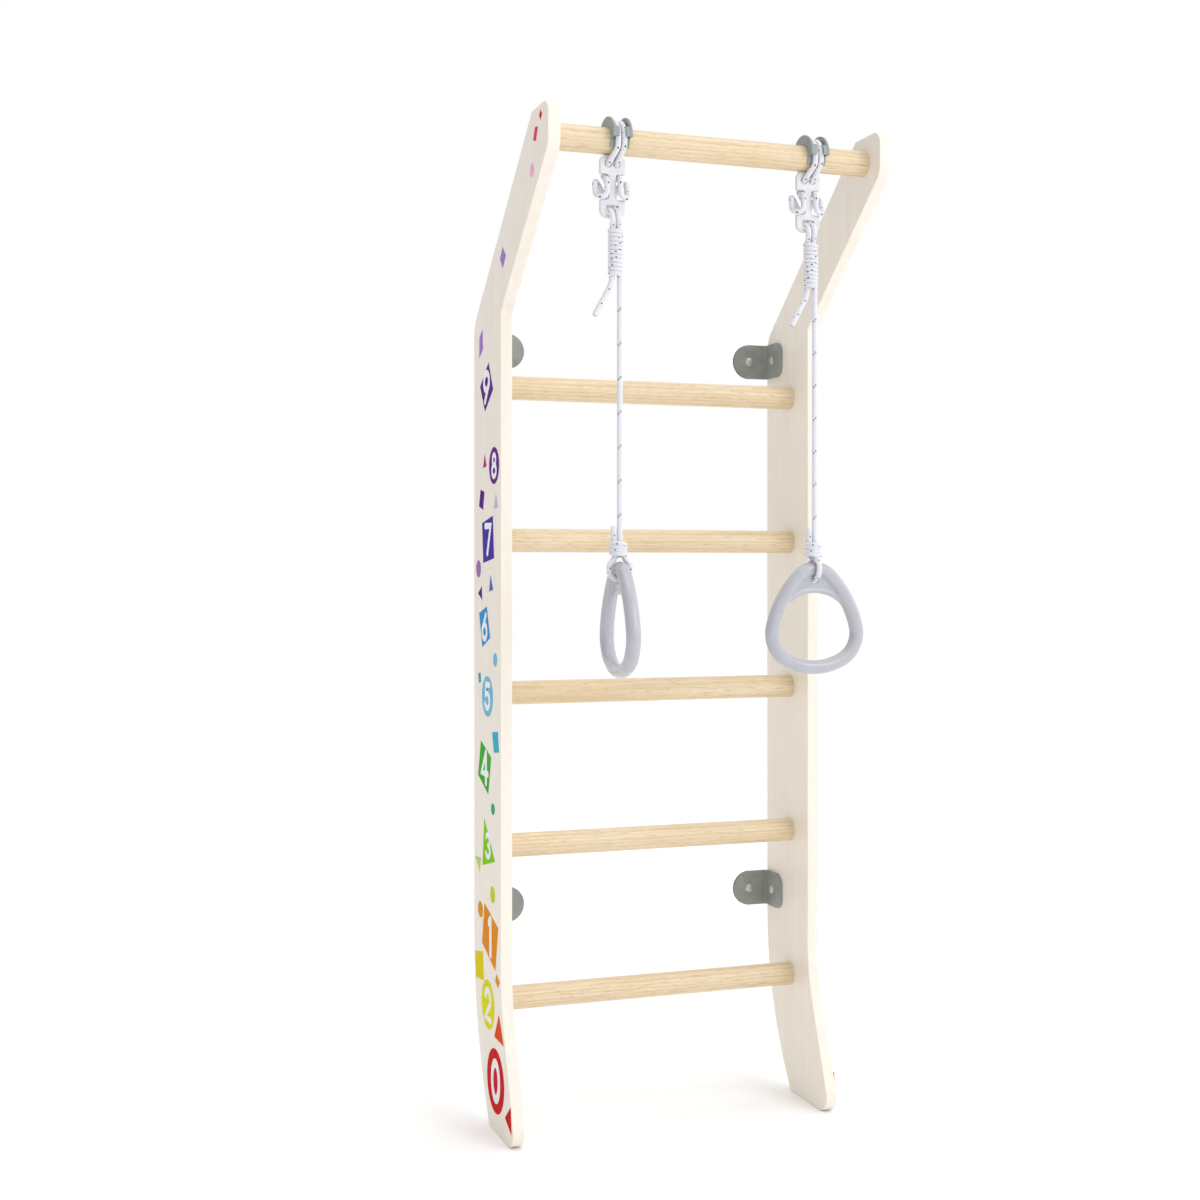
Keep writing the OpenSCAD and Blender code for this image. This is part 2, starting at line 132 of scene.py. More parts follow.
class Nodes(Tree):
    """A Principled material and short ways to make its texture."""

    def __init__(self, name):
        self.material = bpy.data.materials.new(name)
        super().__init__(self.material)
        self.shader = self.tree.nodes["Principled BSDF"]
        self.coords = self.add("ShaderNodeTexCoord").outputs["Object"]

    def math(self, operation, a, b=0.0):
        return self.add("ShaderNodeMath", {0: a, 1: b}, operation=operation).outputs[0]

    def times(self, a, b):
        return self.math("MULTIPLY", a, b)

    def stretched(self, scale, place):
        return self.add("ShaderNodeMapping", {"Scale": scale, "Location": place,
            "Vector": self.coords}).outputs[0]

    def noise(self, scale, detail=4.0, rough=0.55, warp=0.0, place=(0, 0, 0), vector=None):
        """Noise of one scale, or of one for each axis."""
        if isinstance(scale, tuple):
            scale, vector = 1.0, self.stretched(scale, place)
        return self.add("ShaderNodeTexNoise", {"Vector": vector or self.coords, "Scale": scale,
            "Detail": detail, "Roughness": rough, "Distortion": warp}).outputs["Fac"]

    def remap(self, value, low, high, to_low=0.0, to_high=1.0):
        node = self.add("ShaderNodeMapRange", {"Value": value, "From Min": low,
            "From Max": high, "To Min": to_low, "To Max": to_high})
        return node.outputs["Result"]

    def mix(self, factor, a, b):
        node = self.add("ShaderNodeMix", data_type="RGBA")
        for socket, value in ((node.inputs[0], factor), (node.inputs[6], a), (node.inputs[7], b)):
            self.put(socket, value)
        return node.outputs[2]

    def bump(self, height, strength, distance, normal=None):
        node = self.add("ShaderNodeBump", {"Height": height, "Strength": strength,
            "Distance": distance})
        if normal:
            self.put(node.inputs["Normal"], normal)
        return node.outputs[0]

    def done(self, color, roughness, normal=None, **fixed):
        self.put(self.shader.inputs["Base Color"], color)
        self.put(self.shader.inputs["Roughness"], roughness)
        if normal:
            self.put(self.shader.inputs["Normal"], normal)
        for key, value in fixed.items():
            self.shader.inputs[key.replace("_", " ")].default_value = value
        return self.material


def rgb(red, green, blue):
    """A colour given as 0 to 255 display values, as linear light."""
    def linear(c):
        c /= 255
        return c / 12.92 if c <= 0.04045 else ((c + 0.055) / 1.055) ** 2.4
    return (linear(red), linear(green), linear(blue), 1)


def ply_material():
    """Plywood under a cream-white lacquer: faint upright grain, fainter plies at the edges."""
    n = Nodes("ply_lacquer")
    grain = n.noise((30, 60, 3.5), 6, 0.6, 0.4)
    fine = n.noise((260, 520, 14), 3, 0.6)
    cloud = n.noise((5, 7, 3), 2)
    plies = n.add("ShaderNodeTexWave", {"Vector": n.coords, "Scale": 110.0, "Distortion": 1.2,
        "Detail": 2.0, "Detail Scale": 0.35}, bands_direction="X").outputs["Fac"]
    base = n.mix(n.remap(grain, 0.35, 0.65), rgb(238, 229, 217), rgb(243, 236, 226))
    base = n.mix(n.remap(fine, 0.5, 0.75, 0.0, 0.2), base, rgb(226, 211, 193))
    base = n.mix(n.remap(plies, 0.72, 0.98, 0.0, 0.16), base, rgb(220, 203, 176))
    base = n.mix(n.remap(cloud, 0.35, 0.7, 0.0, 0.2), base, rgb(240, 232, 221))
    normal = n.bump(grain, 0.12, 0.0006, n.bump(fine, 0.18, 0.0002))
    return n.done(base, n.remap(grain, 0.3, 0.7, 0.34, 0.48), normal,
        Coat_Weight=0.12, Coat_Roughness=0.25)


def dowel_material(index):
    """Clear-lacquered pale pine: rings seen as long streaks, with short darker flecks."""
    n = Nodes(f"dowel_pine_{index}")
    place = (1.7 * index, 0.31 * index, 0.47 * index)
    rings = n.add("ShaderNodeTexWave", {"Vector": n.stretched((1.2, 16, 16), place), "Scale": 3.6,
        "Distortion": 5.5, "Detail": 3.0, "Detail Scale": 0.8, "Detail Roughness": 0.6},
        wave_type="RINGS", rings_direction="X").outputs["Fac"]
    streak = n.noise((7, 190, 190), 5, 0.65, 0.2, place=place)
    fleck = n.noise((60, 700, 700), 2, 0.5, place=place)
    cloud = n.noise((6, 24, 24), 3, place=place)
    base = n.mix(n.remap(rings, 0.1, 0.95), rgb(226, 206, 172), rgb(213, 189, 150))
    base = n.mix(n.remap(streak, 0.38, 0.68, 0.0, 0.6), base, rgb(233, 218, 190))
    base = n.mix(n.remap(fleck, 0.54, 0.72, 0.0, 0.6), base, rgb(178, 146, 104))
    base = n.mix(n.remap(cloud, 0.4, 0.75, 0.0, 0.28), base, rgb(204, 174, 130))
    normal = n.bump(streak, 0.16, 0.0003, n.bump(fleck, 0.2, 0.00015))
    return n.done(base, n.remap(streak, 0.3, 0.7, 0.36, 0.5), normal,
        Coat_Weight=0.15, Coat_Roughness=0.3)


def powder_coat():
    n = Nodes("bracket_powder_coat")
    peel = n.noise(1500.0, 2)
    cloud = n.noise(40.0, 4)
    speck = n.noise(3200.0, 1)
    base = n.mix(n.remap(cloud, 0.35, 0.65), rgb(136, 141, 137), rgb(152, 156, 151))
    base = n.mix(n.remap(speck, 0.6, 0.75, 0.0, 0.35), base, rgb(104, 108, 104))
    return n.done(base, n.remap(peel, 0.3, 0.7, 0.42, 0.56), n.bump(peel, 0.25, 0.0001))


def screw_steel():
    n = Nodes("screw_zinc")
    brushed = n.noise((900, 900, 900), 3)
    cloud = n.noise(90.0, 3)
    base = n.mix(n.remap(cloud, 0.3, 0.7), rgb(178, 182, 180), rgb(204, 207, 205))
    return n.done(base, n.remap(brushed, 0.3, 0.7, 0.36, 0.5), n.bump(brushed, 0.1, 0.00005),
        Metallic=0.45)


def moulded(name, low, high, roughness, grain_scale, grain_depth, **fixed):
    """Moulded plastic: soft mottling, fine moulded grain, faint scuffs."""
    n = Nodes(name)
    mottle = n.noise(60.0, 4, 0.6)
    grain = n.noise(grain_scale, 2)
    scuff = n.noise((40, 400, 90), 4, 0.7, 1.5)
    base = n.mix(n.remap(mottle, 0.3, 0.7), low, high)
    base = n.mix(n.remap(scuff, 0.62, 0.8, 0.0, 0.18), base, rgb(236, 236, 238))
    rough = n.math("ADD", n.remap(grain, 0.3, 0.7, roughness - 0.05, roughness + 0.05),
        n.remap(scuff, 0.58, 0.8, 0.0, 0.12))
    return n.done(base, rough, n.bump(grain, 0.2, grain_depth), **fixed)


STRANDS = 8
CELL = 2.9 * MM


def rope_material(name, period, run):
    """White braid: the strands' cells, painted shade in the grooves between them, and the dark
    flecks of a tracer yarn, which shows for a run of crossings in each period."""
    n = Nodes(name)
    uv = n.add("ShaderNodeUVMap", uv_map="rope").outputs["UV"]
    parts = n.add("ShaderNodeSeparateXYZ", {"Vector": uv})
    turn = n.times(parts.outputs["X"], float(STRANDS))
    along = n.math("DIVIDE", parts.outputs["Y"], CELL)
    a, b = n.math("ADD", turn, along), n.math("SUBTRACT", turn, along)
    cell_a, cell_b = n.math("FLOOR", a), n.math("FLOOR", b)
    fa, fb = n.math("FRACT", a), n.math("FRACT", b)
    parity = n.math("FLOORED_MODULO", n.math("ADD", cell_a, cell_b), 2.0)
    def by_parity(even, odd):
        return n.math("ADD", n.times(even, n.math("SUBTRACT", 1.0, parity)), n.times(odd, parity))
    across, ends = by_parity(fa, fb), by_parity(fb, fa)
    ridge = n.math("SINE", n.times(across, math.pi))
    inside = n.math("SINE", n.times(ends, math.pi))
    strand = n.math("FLOORED_MODULO", cell_b, float(STRANDS))
    shows = n.math("LESS_THAN", n.math("FLOORED_MODULO", cell_a, period), run)
    tracer = n.times(n.math("COMPARE", strand, 2.0), n.times(shows, parity))
    fleck = n.times(tracer, n.times(n.remap(ridge, 0.02, 0.14),
        n.remap(inside, 0.0, 0.1)))
    threads = n.add("ShaderNodeCombineXYZ", {"X": n.times(across, 7.0),
        "Y": n.times(ends, 1.2), "Z": n.math("ADD", cell_a, n.times(cell_b, 0.37))})
    fibre = n.noise(2.2, 2, vector=threads.outputs[0])
    cloud = n.noise(120.0, 2)
    # Painted shade: the base colour darkens from each strand's ridge down into the grooves between
    # strands
    base = n.mix(n.remap(ridge, 0.15, 0.75), rgb(176, 178, 190), rgb(240, 240, 245))
    base = n.mix(n.remap(fibre, 0.35, 0.7, 0.0, 0.25), base, rgb(214, 216, 226))
    base = n.mix(n.remap(cloud, 0.45, 0.7, 0.0, 0.12), base, rgb(222, 222, 230))
    base = n.mix(fleck, base, rgb(16, 16, 28))
    return n.done(base, n.remap(fibre, 0.3, 0.7, 0.5, 0.68), n.bump(fibre, 0.35, 0.00015),
        Sheen_Weight=0.25, Sheen_Roughness=0.5)


def melted_material():
    """The rope's heat-sealed end."""
    n = Nodes("rope_melted_end")
    blister = n.noise(900.0, 3)
    base = n.mix(n.remap(blister, 0.35, 0.65), rgb(120, 118, 122), rgb(206, 204, 208))
    return n.done(base, n.remap(blister, 0.3, 0.7, 0.25, 0.45), n.bump(blister, 0.5, 0.0003))


def ink_material(name, color):
    """Screen-printed ink, a little uneven, that shows the lacquered grain below it."""
    n = Nodes("ink_" + name)
    uneven = n.noise(160.0, 4)
    grain = n.noise((30, 60, 3.5), 6, 0.6, 0.4)
    darker = tuple(c * 0.84 for c in color[:3]) + (1,)
    base = n.mix(n.remap(uneven, 0.35, 0.7, 0.0, 0.6), color, darker)
    base = n.mix(n.remap(grain, 0.5, 0.75, 0.0, 0.008), base, rgb(250, 248, 244))
    return n.done(base, n.remap(uneven, 0.3, 0.7, 0.5, 0.62), n.bump(grain, 0.12, 0.0004),
        Specular_IOR_Level=0.03)


PLY = ply_material()
ROPE = rope_material("rope_braid", 4.0, 2.0)
LONG_ROPE = rope_material("long_rope_braid", 16.0, 4.0)
MELTED = melted_material()
BRACKET = powder_coat()
SCREW = screw_steel()
SADDLE = moulded("saddle_plastic", rgb(138, 145, 144), rgb(154, 161, 160), 0.46, 1400.0, 0.00006)
PLATE = moulded("adjuster_plastic", rgb(208, 208, 213), rgb(221, 221, 226), 0.36, 1500.0, 0.00004)
RING = moulded("ring_plastic", rgb(176, 177, 185), rgb(181, 182, 190), 0.24, 1100.0, 0.00002,
    Coat_Weight=0.4, Coat_Roughness=0.08)

# ---- mesh helpers


def evaluated(obj):
    """The object's mesh with its modifiers applied, and the object removed."""
    graph = bpy.context.evaluated_depsgraph_get()
    mesh = bpy.data.meshes.new_from_object(obj.evaluated_get(graph), depsgraph=graph)
    bpy.data.objects.remove(obj)
    return mesh


def working(data):
    obj = bpy.data.objects.new("work", data)
    scene.collection.objects.link(obj)
    return obj


def cleaned(mesh, weld=0):
    """The mesh with doubles welded, if asked, and its faces turned outwards."""
    tidy = bmesh.new()
    tidy.from_mesh(mesh)
    if weld:
        bmesh.ops.remove_doubles(tidy, verts=tidy.verts, dist=weld)
    bmesh.ops.recalc_face_normals(tidy, faces=tidy.faces)
    tidy.to_mesh(mesh)
    tidy.free()
    return mesh


def mesh_of(vertices, faces):
    mesh = bpy.data.meshes.new("mesh")
    mesh.from_pydata([tuple(v) for v in vertices], [], [tuple(f) for f in faces])
    return cleaned(mesh)


def joined(meshes):
    """Several meshes as the loose parts of one."""
    whole = bmesh.new()
    for mesh in meshes:
        whole.from_mesh(mesh)
    mesh = bpy.data.meshes.new("joined")
    whole.to_mesh(mesh)
    whole.free()
    return mesh


def moved(mesh, matrix):
    copy = mesh.copy()
    copy.transform(matrix)
    if matrix.determinant() < 0:
        copy.flip_normals()
    return copy


def combine(mesh, operation, others):
    """A boolean of a mesh with others, one after another."""
    for other in others:
        base, tool = working(mesh), working(other)
        modifier = base.modifiers.new("combine", "BOOLEAN")
        modifier.operation, modifier.solver, modifier.object = operation, "EXACT", tool
        mesh = evaluated(base)
        bpy.data.objects.remove(tool)
    return mesh


def bevelled(mesh, width, segments=2, angle=40):
    obj = working(mesh)
    weld = obj.modifiers.new("weld", "WELD")
    weld.merge_threshold = 0.005 * MM
    modifier = obj.modifiers.new("bevel", "BEVEL")
    modifier.width, modifier.segments = width, segments
    modifier.limit_method, modifier.angle_limit = "ANGLE", math.radians(angle)
    return evaluated(obj)


def corner(a, b, c):
    """The corner (x, y, radius) b of an outline between a and c, as the points of its arc."""
    p, r = Vector(b[:2]), b[2]
    u, v = (Vector(a[:2]) - p).normalized(), (Vector(c[:2]) - p).normalized()
    half = u.angle(v) / 2
    centre = p + (u + v).normalized() * r / math.sin(half)
    start, end = p + u * r / math.tan(half) - centre, p + v * r / math.tan(half) - centre
    sweep = math.atan2(start.x * end.y - start.y * end.x, start.dot(end))
    from_angle = math.atan2(start.y, start.x)
    steps = max(4, math.ceil(abs(math.degrees(sweep)) / 5))
    return [centre + r * Vector((math.cos(from_angle + sweep * i / steps),
        math.sin(from_angle + sweep * i / steps))) for i in range(steps + 1)]


def rounded(points):
    """An outline of (x, y, radius) corners in millimetres, as points in metres."""
    count = len(points)
    return [q * MM for i in range(count)
        for q in corner(points[i - 1], points[i], points[(i + 1) % count])]


def oval(x, y, rx, ry, count=48):
    """A closed outline given in millimetres, as points in metres."""
    return [Vector((x + rx * math.cos(math.tau * i / count),
        y + ry * math.sin(math.tau * i / count))) * MM for i in range(count)]


def plate(loops, thickness, bevel, segments=3):
    """A flat plate in the XY plane, its middle at z 0, with rounded rims. The first loop is
    its outline and the others are its holes."""
    curve = bpy.data.curves.new("plate", "CURVE")
    curve.dimensions, curve.fill_mode = "2D", "BOTH"
    curve.extrude = thickness / 2 - bevel
    curve.bevel_depth, curve.bevel_resolution, curve.offset = bevel, segments - 1, -bevel
    for loop in loops:
        spline = curve.splines.new("POLY")
        spline.points.add(len(loop) - 1)
        for point, place in zip(spline.points, loop):
            point.co = (place[0], place[1], 0, 1)
        spline.use_cyclic_u = True
    obj = working(curve)
    bpy.context.view_layer.update()
    return cleaned(evaluated(obj), 0.002 * MM)


def lathe(profile, sides=48):
    """A closed profile of (radius, height) points turned about Z; its ends lie on the axis."""
    vertices, rings = [], []
    for radius, height in profile:
        if radius < 1e-9:
            rings.append([len(vertices)])
            vertices.append((0, 0, height))
        else:
            rings.append(list(range(len(vertices), len(vertices) + sides)))
            vertices += [(radius * math.cos(math.tau * k / sides),
                radius * math.sin(math.tau * k / sides), height) for k in range(sides)]
    faces = []
    for low, high in zip(rings, rings[1:]):
        for k in range(sides):
            quad = [low[k % len(low)], low[(k + 1) % len(low)],
                high[(k + 1) % len(high)], high[k % len(high)]]
            faces.append(list(dict.fromkeys(quad)))
    return mesh_of(vertices, faces)


def arc_block(inner, outer, x_low, x_high, start, sweep, steps):
    """A block swept about the X axis, from a start angle past straight down at the front."""
    vertices, faces = [], []
    for i in range(steps + 1):
        angle = math.radians(start + sweep * i / steps)
        y, z = math.sin(angle), -math.cos(angle)
        vertices += [(x, -r * y, r * z) for x, r in
            ((x_low, inner), (x_high, inner), (x_high, outer), (x_low, outer))]
    for i in range(steps):
        faces += [(4 * i + k, 4 * i + (k + 1) % 4, 4 * i + 4 + (k + 1) % 4, 4 * i + 4 + k)
            for k in range(4)]
    faces += [(3, 2, 1, 0), tuple(4 * steps + k for k in range(4))]
    return mesh_of(vertices, faces)


X_OUT = Matrix(((0, 0, 1, 0), (1, 0, 0, 0), (0, 1, 0, 0), (0, 0, 0, 1)))
Z_BACK = Matrix(((1, 0, 0, 0), (0, 0, 1, 0), (0, 1, 0, 0), (0, 0, 0, 1)))
MIRROR_X = Matrix.Scale(-1, 4, (1, 0, 0))


def piece(name, mesh, body, materials, replaces=(), sharp=35, weighted=True):
    """A finished piece: shaded, riding on its body, standing for its CAD nodes."""
    mesh.name = name
    mesh.materials.clear()
    for material in materials:
        mesh.materials.append(material)
    mesh.shade_smooth()
    if sharp:
        mesh.set_sharp_from_angle(angle=math.radians(sharp))
    obj = bpy.data.objects.new(name, mesh)
    scene.collection.objects.link(obj)
    if weighted:
        modifier = obj.modifiers.new("normals", "WEIGHTED_NORMAL")
        modifier.keep_sharp = True
    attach(obj, body)
    if replaces:
        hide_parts(*replaces)
    return obj


# ---- ropes

ROPE_SIDES = 40
RING_STEP = 0.72 * MM
RELIEF = 0.42 * MM


def smooth_route(points):
    """An even curve through the points: a Catmull-Rom spline, then equal steps."""
    p = np.array([tuple(q) for q in points], float)
    p = np.vstack([2 * p[0] - p[1], p, 2 * p[-1] - p[-2]])
    curve = []
    for a, b, c, d in zip(p, p[1:], p[2:], p[3:]):
        t = np.linspace(0, 1, 24, endpoint=False)[:, None]
        curve.append(0.5 * (2 * b + (c - a) * t + (2 * a - 5 * b + 4 * c - d) * t ** 2
            + (3 * b - a - 3 * c + d) * t ** 3))
    curve = np.vstack(curve + [p[-2][None]])
    along = np.concatenate([[0], np.cumsum(np.linalg.norm(np.diff(curve, axis=0), axis=1))])
    at = np.linspace(0, along[-1], max(3, round(along[-1] / RING_STEP) + 1))
    return np.stack([np.interp(at, along, curve[:, k]) for k in range(3)], axis=1), at


def unit(rows):
    return rows / np.linalg.norm(rows, axis=1)[:, None]


def weave(u, v):
    """Height of the braid's surface, 0 to 1, at a turn u and a length v."""
    a, b = u * STRANDS + v / CELL, u * STRANDS - v / CELL
    over = (np.floor(a) + np.floor(b)) % 2 < 0.5
    across, ends = np.where(over, a % 1, b % 1), np.where(over, b % 1, a % 1)
    return np.sin(np.pi * across) ** 0.7 * (0.6 + 0.4 * np.sin(np.pi * ends) ** 0.6)


def rope_mesh(points, flat=None, melted=False):
    """A braided rope along a route. flat = (radial, axial, axis point) squeezes a wrap that
    goes round an upright axis through that point."""
    route, along = smooth_route(points)
    count = len(route)
    heading = unit(np.gradient(route, axis=0))
    normal = np.array((1.0, 0, 0)) if abs(heading[0][0]) < 0.9 else np.array((0, 1.0, 0))
    frames = []
    for t in heading:
        normal = normal - t * (normal @ t)
        normal /= np.linalg.norm(normal)
        frames.append(normal)
    frames = np.array(frames)
    sides = np.cross(heading, frames)
    u = np.arange(ROPE_SIDES) / ROPE_SIDES
    grid_u, grid_v = np.meshgrid(u, along)
    r = ROPE_R - RELIEF * (1 - weave(grid_u, grid_v))
    if melted:
        left = (along[-1] - along)[:, None]
        r = r * np.clip(0.72 + 0.28 * np.sqrt(np.clip(left / (2.2 * MM), 0, 1)), 0, 1)
    offset = (np.cos(math.tau * u)[None, :, None] * frames[:, None]
        + np.sin(math.tau * u)[None, :, None] * sides[:, None]) * r[:, :, None]
    if flat:
        radial, axial, centre = flat
        out = unit((route - (*centre, 0)) * (1, 1, 0))
        in_out = (offset * out[:, None]).sum(2)[:, :, None] * out[:, None]
        offset = offset + in_out * (radial - 1) + offset * (0, 0, axial - 1)
    vertices = (route[:, None] + offset).reshape(-1, 3)
    i, k = np.meshgrid(np.arange(count - 1), np.arange(ROPE_SIDES), indexing="ij")
    here, there, turn = i * ROPE_SIDES, (i + 1) * ROPE_SIDES, (k + 1) % ROPE_SIDES
    quads = np.stack([here + k, here + turn, there + turn, there + k], axis=-1).reshape(-1, 4)
    caps = [tuple(range(ROPE_SIDES))[::-1],
        tuple((count - 1) * ROPE_SIDES + k for k in range(ROPE_SIDES))]
    mesh = bpy.data.meshes.new("rope")
    mesh.from_pydata(vertices.tolist(), [], [tuple(q) for q in quads.tolist()] + caps)
    layer = mesh.uv_layers.new(name="rope")
    edge_u = np.stack([k, k + 1, k + 1, k], axis=-1).reshape(-1, 4) / ROPE_SIDES
    edge_v = np.stack([along[i], along[i], along[i + 1], along[i + 1]], axis=-1).reshape(-1, 4)
    uv = np.zeros((len(mesh.loops), 2), np.float32)
    uv[:edge_u.size, 0], uv[:edge_v.size, 1] = edge_u.ravel(), edge_v.ravel()
    uv[edge_u.size:, 1] = np.repeat(along[[0, -1]], ROPE_SIDES)
    layer.data.foreach_set("uv", uv.ravel())
    if melted:
        near_end = along[i].ravel() > along[-1] - 1.6 * MM
        ends = np.concatenate([near_end, [False, True]]).astype(np.int32)
        mesh.polygons.foreach_set("material_index", ends)
    return mesh, [Vector(q) for q in route]


# Routes in millimetres, as [across, back, up] from the bar's axis: the same points as the
# CAD ropes, with each end let a little into its knot
ROPE_TOP, UPPER_KNOT, LOWER_KNOT, APEX = -181, (-115, -184), (-539, -564), -578
STRAND_X = 4.4
SLING_R = BAR_R / MM + 6.4
BIGHT = [(0, 8.5, -56), (4.5, 8.5, -53.5), (6.5, 8.5, -48), (6, 10, -40), (5, 16, -27)]
LACING = [(5.4, -11.5, -22.5), (6.2, -4, -30), (6.4, 3, -34.5), (7.5, 8, -40), (9.5, 7, -46.5),
    (9.6, 0.5, -50), (9.6, -5.5, -52.5), (9.6, -7.6, -58), (9.6, -7.6, -68), (12, -7.6, -74),
    (17.5, -6, -76.5), (22.2, -1, -74), (22.8, 3.5, -68), (22.8, 4, -59), (21.2, 8, -54.5),
    (16, 12, -56.5), (12, 12.8, -63), (8, 12.5, -71), (5.4, 10, -79), (4.5, 4.5, -87),
    (4.4, -2, -92.5), (4.4, -7.4, -98), (4.4, -6.8, -105), (4.3, -2, -111),
    (4.3, 0, -115), (3.8, 0, -121)]
TAIL = [(-4.8, 0, -180), (-5.4, 0, -187), (-7, 0, -193), (-10.5, -0.5, -201),
    (-15.5, -1, -210), (-21.5, -2, -220), (-27, -3, -229.5), (-31.5, -3.5, -237)]
# Wraps: how far they start past a knot's ends, how much a turn is squeezed (radially, along
# the axis), and each knot's turns as (radius, turns, start angle, shift from the rope)
WRAP_END, WRAP_FLAT = 3.15, (0.9, 0.79)
UPPER_WRAPS, LOWER_WRAPS = (7.2, 11, 0.6, 0), (8.9, 4, 2.2, -2.2)
ADJUSTER_SHIFT = 5
# How much of the adjuster's shift the sling has, at depths below the bar's axis
LEAN = ((14, 30, 92, 113), (0, 1, 1, 0))
SHORT_TAIL = [(-8.6, 0, -543), (-8.6, 0, -538), (-8.6, 0, -531), (-9, -0.6, -520)]
EYE_LEG = [(0, 6.4, -558), (0, 7.5, -564), (0, 10.7, -568), (0, 14.2, -573)]
EYE_R = 14.8


def sling_points():
    over = [(STRAND_X, SLING_R * math.cos(math.radians(a)), SLING_R * math.sin(math.radians(a)))
        for a in range(-20, 213, 11)]
    half = BIGHT[1:] + over + LACING
    whole = [(-x, y, z) for x, y, z in reversed(half)] + [BIGHT[0]] + half
    return [(x - ADJUSTER_SHIFT * np.interp(-z, *LEAN), y, z) for x, y, z in whole]


def wrap_points(middle_x, top, bottom, radius, wraps, start):
    """The turns of a knot round its rope, with both ends tucked in."""
    steps = wraps * 16
    points = []
    for i in range(steps + 1):
        share = i / steps
        r = radius * (0.6 + 0.4 * min(1.0, min(i, steps - i) / 4))
        angle = start + math.tau * wraps * share
        points.append((middle_x + r * math.cos(angle), r * math.sin(angle),
            top + (bottom - top) * share))
    return points


def rope_piece(side, name, points, body, node, material=ROPE, melted=False, flat=None):
    """A piece of rope that stands for a CAD node, and its route."""
    mesh, route = rope_mesh(points, flat, melted)
    obj = piece(f"{side}_{name}", mesh, f"{side}_{body}",
        [material, MELTED] if melted else [material], [f"{side}_{node}"], sharp=0, weighted=False)
    return obj, route


def knot_wraps(side, node, span, wraps, x, body):
    """A knot's turns of rope between two heights, squeezed together."""
    radius, count, start, shift = wraps
    turns = wrap_points(shift, span[0] - WRAP_END, span[1] + WRAP_END, radius, count, start)
    flat = (*WRAP_FLAT, (x + shift * MM, BAR_MID.y))
    return rope_piece(side, node + "_wraps", from_axis(x, turns), body, node, flat=flat)[0]


def make_ropes():
    for side in SIDES:
        bar_x, rope_x = HANGER_X[side], ROPE_X[side]
        rope_piece(side, "sling_rope", from_axis(bar_x, sling_points()), "sling", "sling")
        knot_wraps(side, "upper_knot", UPPER_KNOT, UPPER_WRAPS, bar_x, "sling")
        lower_knot = knot_wraps(side, "lower_knot", LOWER_KNOT, LOWER_WRAPS, rope_x, "eye")
        short_tail, _ = rope_piece(side, "short_tail_rope", from_axis(rope_x, SHORT_TAIL), "eye",
            "short_tail", melted=True)
        eye = EYE_LEG + [(0, EYE_R * math.cos(math.radians(a)),
            APEX - EYE_R * math.sin(math.radians(a))) for a in range(0, 181, 20)]
        eye += [(x, -y, z) for x, y, z in reversed(EYE_LEG)]
        turned = Matrix.Rotation(RING_TURN[side], 3, "Z")
        eye = from_axis(rope_x, [turned @ Vector(p) for p in eye])
        eye_piece, _ = rope_piece(side, "eye_rope", eye, "eye", "eye")
        drop_end = LOWER_KNOT[0] - 6
        drop = [(0, 0, ROPE_TOP + (drop_end - ROPE_TOP) * i / 18) for i in range(19)]
        rope, route = rope_piece(side, "long_rope", from_axis(rope_x, drop), "rope",
            "drop_rope", LONG_ROPE)
        tail, route = rope_piece(side, "tail_rope", from_axis(bar_x, TAIL), "sling", "tail",
            melted=True)


make_ropes()

# ---- uprights

RUNG_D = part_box("rung_1")[1].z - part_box("rung_1")[0].z
SOCKET_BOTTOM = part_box("rung_1")[1].x + 0.3 * MM
UPRIGHT_OUTLINE = [(0, 124, 450), (-86, 0, 4), (-219.7, 0, 24), (-146, 197, 250),
    (-146, 1184, 12), (-372, 1371, 25), (-372, 1432, 19), (-299.8, 1432, 8), (0, 1184, 40)]


def cylinder_x(place, radius, x_low, x_high, sides=64):
    turned = lathe([(0, x_low), (radius, x_low), (radius, x_high), (0, x_high)], sides)
    return moved(turned, Matrix.Translation((0, place.y, place.z)) @ X_OUT)


def make_uprights():
    board = plate([rounded(UPRIGHT_OUTLINE)], UPRIGHT_T, 1.6 * MM, 4)
    place = Matrix.Translation(((INNER_X + OUTER_X) / 2, 0, FOOT_Z))
    board = moved(board, place @ X_OUT)
    sockets = [cylinder_x(middle(f"rung_{i}"), RUNG_D / 2 + 0.05 * MM, INNER_X - 0.01,
        SOCKET_BOTTOM) for i in range(1, 6)]
    sockets.append(cylinder_x(BAR_MID, BAR_R + 0.05 * MM, INNER_X - 0.01, SOCKET_BOTTOM))
    board = combine(board, "DIFFERENCE", [joined(sockets)])
    piece("right_board", board, "frame", [PLY], ["right_upright"])
    piece("left_board", moved(board, MIRROR_X), "frame", [PLY], ["left_upright"])


make_uprights()

# ---- rungs and bar


def make_dowel(node, index):
    low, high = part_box(node)
    r, ease = (high.z - low.z) / 2, 1.2 * MM
    profile = [(0, low.x), (r - ease, low.x), (r, low.x + ease)]
    profile += [(r, low.x + (high.x - low.x) * i / 12) for i in range(1, 12)]
    profile += [(r, high.x - ease), (r - ease, high.x), (0, high.x)]
    turned = lathe(profile, 96)
    place = Matrix.Translation((0, (low.y + high.y) / 2, (low.z + high.z) / 2))
    piece(node + "_dowel", moved(turned, place @ X_OUT), "frame",
        [dowel_material(index)], [node])


for number, dowel in enumerate(["top_bar"] + [f"rung_{i}" for i in range(1, 6)]):
    make_dowel(dowel, number)

# ---- brackets and screws

